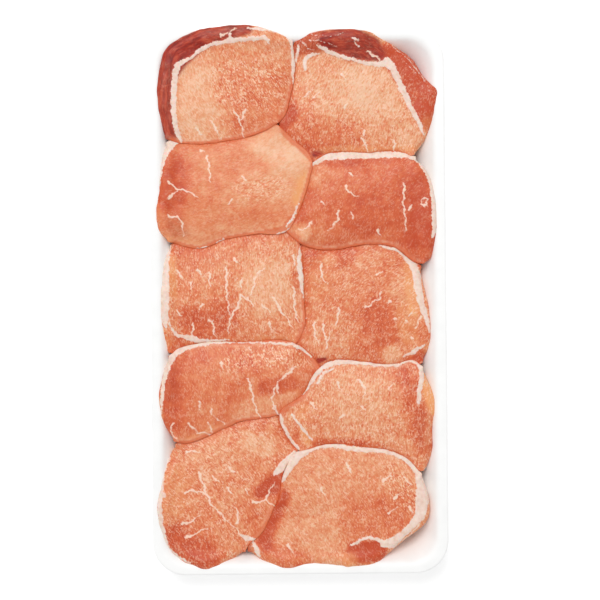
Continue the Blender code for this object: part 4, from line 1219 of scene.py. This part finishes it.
def make_stage(studio):
    """White floor, a dome of soft white light, one large softbox beyond the far end, and the camera."""
    scene = bpy.context.scene
    bm = bmesh.new()
    bmesh.ops.create_grid(bm, x_segments=1, y_segments=1, size=FLOOR_HALF_WIDTH)
    mesh = bpy.data.meshes.new("studio_floor")
    bm.to_mesh(mesh)
    bm.free()
    # A white acrylic sheet lit from beneath, so that shadows on it are faint.
    acrylic = new_material("white acrylic light table", {
        "Base Color": hex_colour("F0F0F0"), "Roughness": 0.6, "Specular IOR Level": 0.0,
        "Emission Color": hex_colour("FFFFFF"), "Emission Strength": studio.floor_glow})[0]
    mesh.materials.append(acrylic)
    add_object("studio_floor", mesh)

    world = bpy.data.worlds.new("studio dome")
    world.use_nodes = True
    sky = world.node_tree.nodes["Background"]
    sky.inputs["Color"].default_value = (1.0, 1.0, 1.0, 1.0)
    sky.inputs["Strength"].default_value = studio.dome_strength
    scene.world = world

    softbox = bpy.data.lights.new("softbox", "AREA")
    softbox.shape = "SQUARE"
    softbox.size = SOFTBOX_SIZE
    softbox.energy = studio.softbox_power
    lamp = add_object("softbox", softbox)
    lamp.location = SOFTBOX_PLACE
    lamp.rotation_euler = (-SOFTBOX_PLACE).to_track_quat("-Z", "Y").to_euler()

    lens = bpy.data.cameras.new("camera")
    lens.sensor_width = 36.0
    lens.lens = lens.sensor_width * (studio.camera_height - TRAY_HIGH.z) / studio.frame_width
    camera = add_object("camera", lens)
    camera.location = (*CAMERA_OFFSET, studio.camera_height)
    camera.rotation_euler = (0.0, 0.0, -studio.camera_turn)
    scene.camera = camera
    scene.view_settings.view_transform = "Standard"


# Add-on -----------------------------------------------------------------------------------------------

class TraySizes(bpy.types.PropertyGroup):
    """Sizes of the foam tray, in millimetres."""
    corner_radius: FloatProperty(
        name="Corner Radius", description="Outer corner radius, mm", default=22.5, min=5)
    rim_width: FloatProperty(
        name="Rim Width", description="Flat rim out to the wall's top, mm", default=6.9, min=1)
    wall_run: FloatProperty(
        name="Wall Run", description="How far the wall slopes in, mm", default=16.3, min=2)
    floor_reach: FloatProperty(
        name="Floor Reach", description="Lofted part of the floor, mm", default=10.0, min=2)
    foam_thickness: FloatProperty(
        name="Foam Thickness", description="Sheet thickness, mm", default=3.5, min=1)
    bend_radius: FloatProperty(
        name="Bend Radius", description="Rounding at the wall's top and foot, mm", default=5.0)
    ripple: FloatProperty(
        name="Ripple", description="Unevenness of the formed sheet, mm", default=0.6, min=0)
    steps: IntProperty(
        name="Steps", description="Segments in a quarter of the way round", default=48, min=8)
    foam_colour: FloatVectorProperty(
        name="Foam", description="Colour of the foam", subtype="COLOR", size=4, default=hex_colour("FBFBFA"))


class MeatLook(bpy.types.PropertyGroup):
    """Sizes of the meat's grain in millimetres, and strengths."""
    fibre_size: FloatProperty(
        name="Fibre Size", description="Width of a bundle of fibres, mm", default=1.1, min=0.2)
    fibre_contrast: FloatProperty(
        name="Fibre Contrast", description="Strength of the fine grain", default=1.25, min=0)
    fleck_strength: FloatProperty(
        name="Fleck Strength", description="Strength of the marbling", default=0.9, min=0)
    fleck_size: FloatProperty(
        name="Fleck Size", description="Width of the marbling's flecks, mm", default=0.8, min=0.2)
    vein_width: FloatProperty(
        name="Vein Width", description="Width of a vein at its start, mm", default=1.5, min=0.1)
    swell_height: FloatProperty(
        name="Swell Height", description="Height of the soft swells, mm", default=1.6, min=0)
    swell_size: FloatProperty(
        name="Swell Size", description="Width of the soft swells, mm", default=14.0, min=1)
    fibre_height: FloatProperty(
        name="Fibre Height", description="Relief of the cut fibres, mm", default=0.25, min=0)
    fat_height: FloatProperty(
        name="Fat Height", description="How far fat stands proud, mm", default=0.30, min=0)
    # Painted highlight along thin lips, and painted shade in the creases under them.
    lip_glow: FloatProperty(name="Lip Glow", description="Paleness of thin edges", default=0.5)
    crease_shade_strength: FloatProperty(name="Fold Depth", description="Strength of the red in folds", default=0.7)
    roughness: FloatProperty(
        name="Roughness", description="Roughness of the moist surface", default=0.42, min=0, max=1)
    # Colour of the marbling's flecks, also of the painted highlight along thin lips.
    marbling_and_lip_highlight_colour: FloatVectorProperty(
        name="Marbling", description="Flecks of fat", subtype="COLOR", size=4, default=hex_colour("F5C9AA"))
    vein_colour: FloatVectorProperty(
        name="Veins", description="Veins of fat", subtype="COLOR", size=4, default=hex_colour("F6D8C4"))
    # Yellow tissue, and a painted glow along thin edges.
    amber_colour: FloatVectorProperty(
        name="Amber", description="Yellow tissue and lit thin edges", subtype="COLOR", size=4,
        default=hex_colour("F0A86C"))
    # Colour of the painted shade in the creases.
    crease_shade_colour: FloatVectorProperty(
        name="Fold", description="Meat in the folds", subtype="COLOR", size=4, default=hex_colour("D8602C"))


class StudioLook(bpy.types.PropertyGroup):
    """Light and camera."""
    dome_strength: FloatProperty(
        name="Dome Strength", description="Brightness of the white dome", default=0.70)
    softbox_power: FloatProperty(
        name="Softbox Power", description="Watts of the softbox", default=40.0, min=0)
    floor_glow: FloatProperty(
        name="Floor Glow", description="Light from beneath the floor", default=0.27, min=0)
    camera_height: FloatProperty(
        name="Camera Height", description="Metres above the floor", default=1.0, unit="LENGTH")
    frame_width: FloatProperty(
        name="Frame Width", description="Width seen at the rim, metres", default=0.4118, unit="LENGTH")
    camera_turn: FloatProperty(
        name="Camera Turn", description="Turn about the vertical", default=math.radians(0.535),
        unit="ROTATION")


class MEATPACK_OT_make_tray(bpy.types.Operator):
    """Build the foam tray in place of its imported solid."""
    bl_idname = "meat_pack.make_tray"
    bl_label = "Make Foam Tray"

    def execute(self, context):
        make_tray(context.scene.meat_pack_tray)
        return {"FINISHED"}


class MEATPACK_OT_make_chops(bpy.types.Operator):
    """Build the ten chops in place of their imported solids."""
    bl_idname = "meat_pack.make_chops"
    bl_label = "Make Pork Chops"

    def execute(self, context):
        sizes = context.scene.meat_pack_meat
        random = np.random.default_rng(7)
        layout = Layout(CAD_LOW, CAD_HIGH)
        relief = relief_tree(sizes, make_pork(sizes))
        chops = {
            name: Chop("chop_" + name, look["nudges"], layout, random)
            for name, look in CHOPS.items()}
        pile = list(chops.values())
        shifts = [chop.close_up(pile, layout) for chop in pile]
        for chop, shift in zip(pile, shifts):
            chop.outline += shift
            chop.map_depth(layout)
        for _ in range(SETTLE_PASSES):
            for chop in pile:
                chop.lie_down(pile, layout)
        for name, chop in chops.items():
            make_chop(name, CHOPS[name], chop, pile, layout, sizes, relief)
        return {"FINISHED"}


class MEATPACK_OT_make_stage(bpy.types.Operator):
    """Set up the floor, lights and camera."""
    bl_idname = "meat_pack.make_stage"
    bl_label = "Make Studio"

    def execute(self, context):
        make_stage(context.scene.meat_pack_studio)
        return {"FINISHED"}


class MEATPACK_PT_sidebar(bpy.types.Panel):
    """Steps and settings of the meat tray pack."""
    bl_idname = "MEATPACK_PT_sidebar"
    bl_label = "Meat Tray Pack"
    bl_space_type = "VIEW_3D"
    bl_region_type = "UI"
    bl_category = "Meat pack"

    def draw(self, context):
        for operator, group in (
                (MEATPACK_OT_make_tray, context.scene.meat_pack_tray),
                (MEATPACK_OT_make_chops, context.scene.meat_pack_meat),
                (MEATPACK_OT_make_stage, context.scene.meat_pack_studio)):
            box = self.layout.box()
            box.operator(operator.bl_idname)
            for name in group.__annotations__:
                box.prop(group, name)


CLASSES = (TraySizes, MeatLook, StudioLook, MEATPACK_OT_make_tray, MEATPACK_OT_make_chops,
           MEATPACK_OT_make_stage, MEATPACK_PT_sidebar)


def register():
    for cls in CLASSES:
        bpy.utils.register_class(cls)
    bpy.types.Scene.meat_pack_tray = PointerProperty(type=TraySizes)
    bpy.types.Scene.meat_pack_meat = PointerProperty(type=MeatLook)
    bpy.types.Scene.meat_pack_studio = PointerProperty(type=StudioLook)


def unregister():
    del bpy.types.Scene.meat_pack_studio
    del bpy.types.Scene.meat_pack_meat
    del bpy.types.Scene.meat_pack_tray
    for cls in reversed(CLASSES):
        bpy.utils.unregister_class(cls)


def main():
    register()
    bpy.ops.meat_pack.make_tray()
    bpy.ops.meat_pack.make_chops()
    bpy.ops.meat_pack.make_stage()


if __name__ == "__main__":
    main()
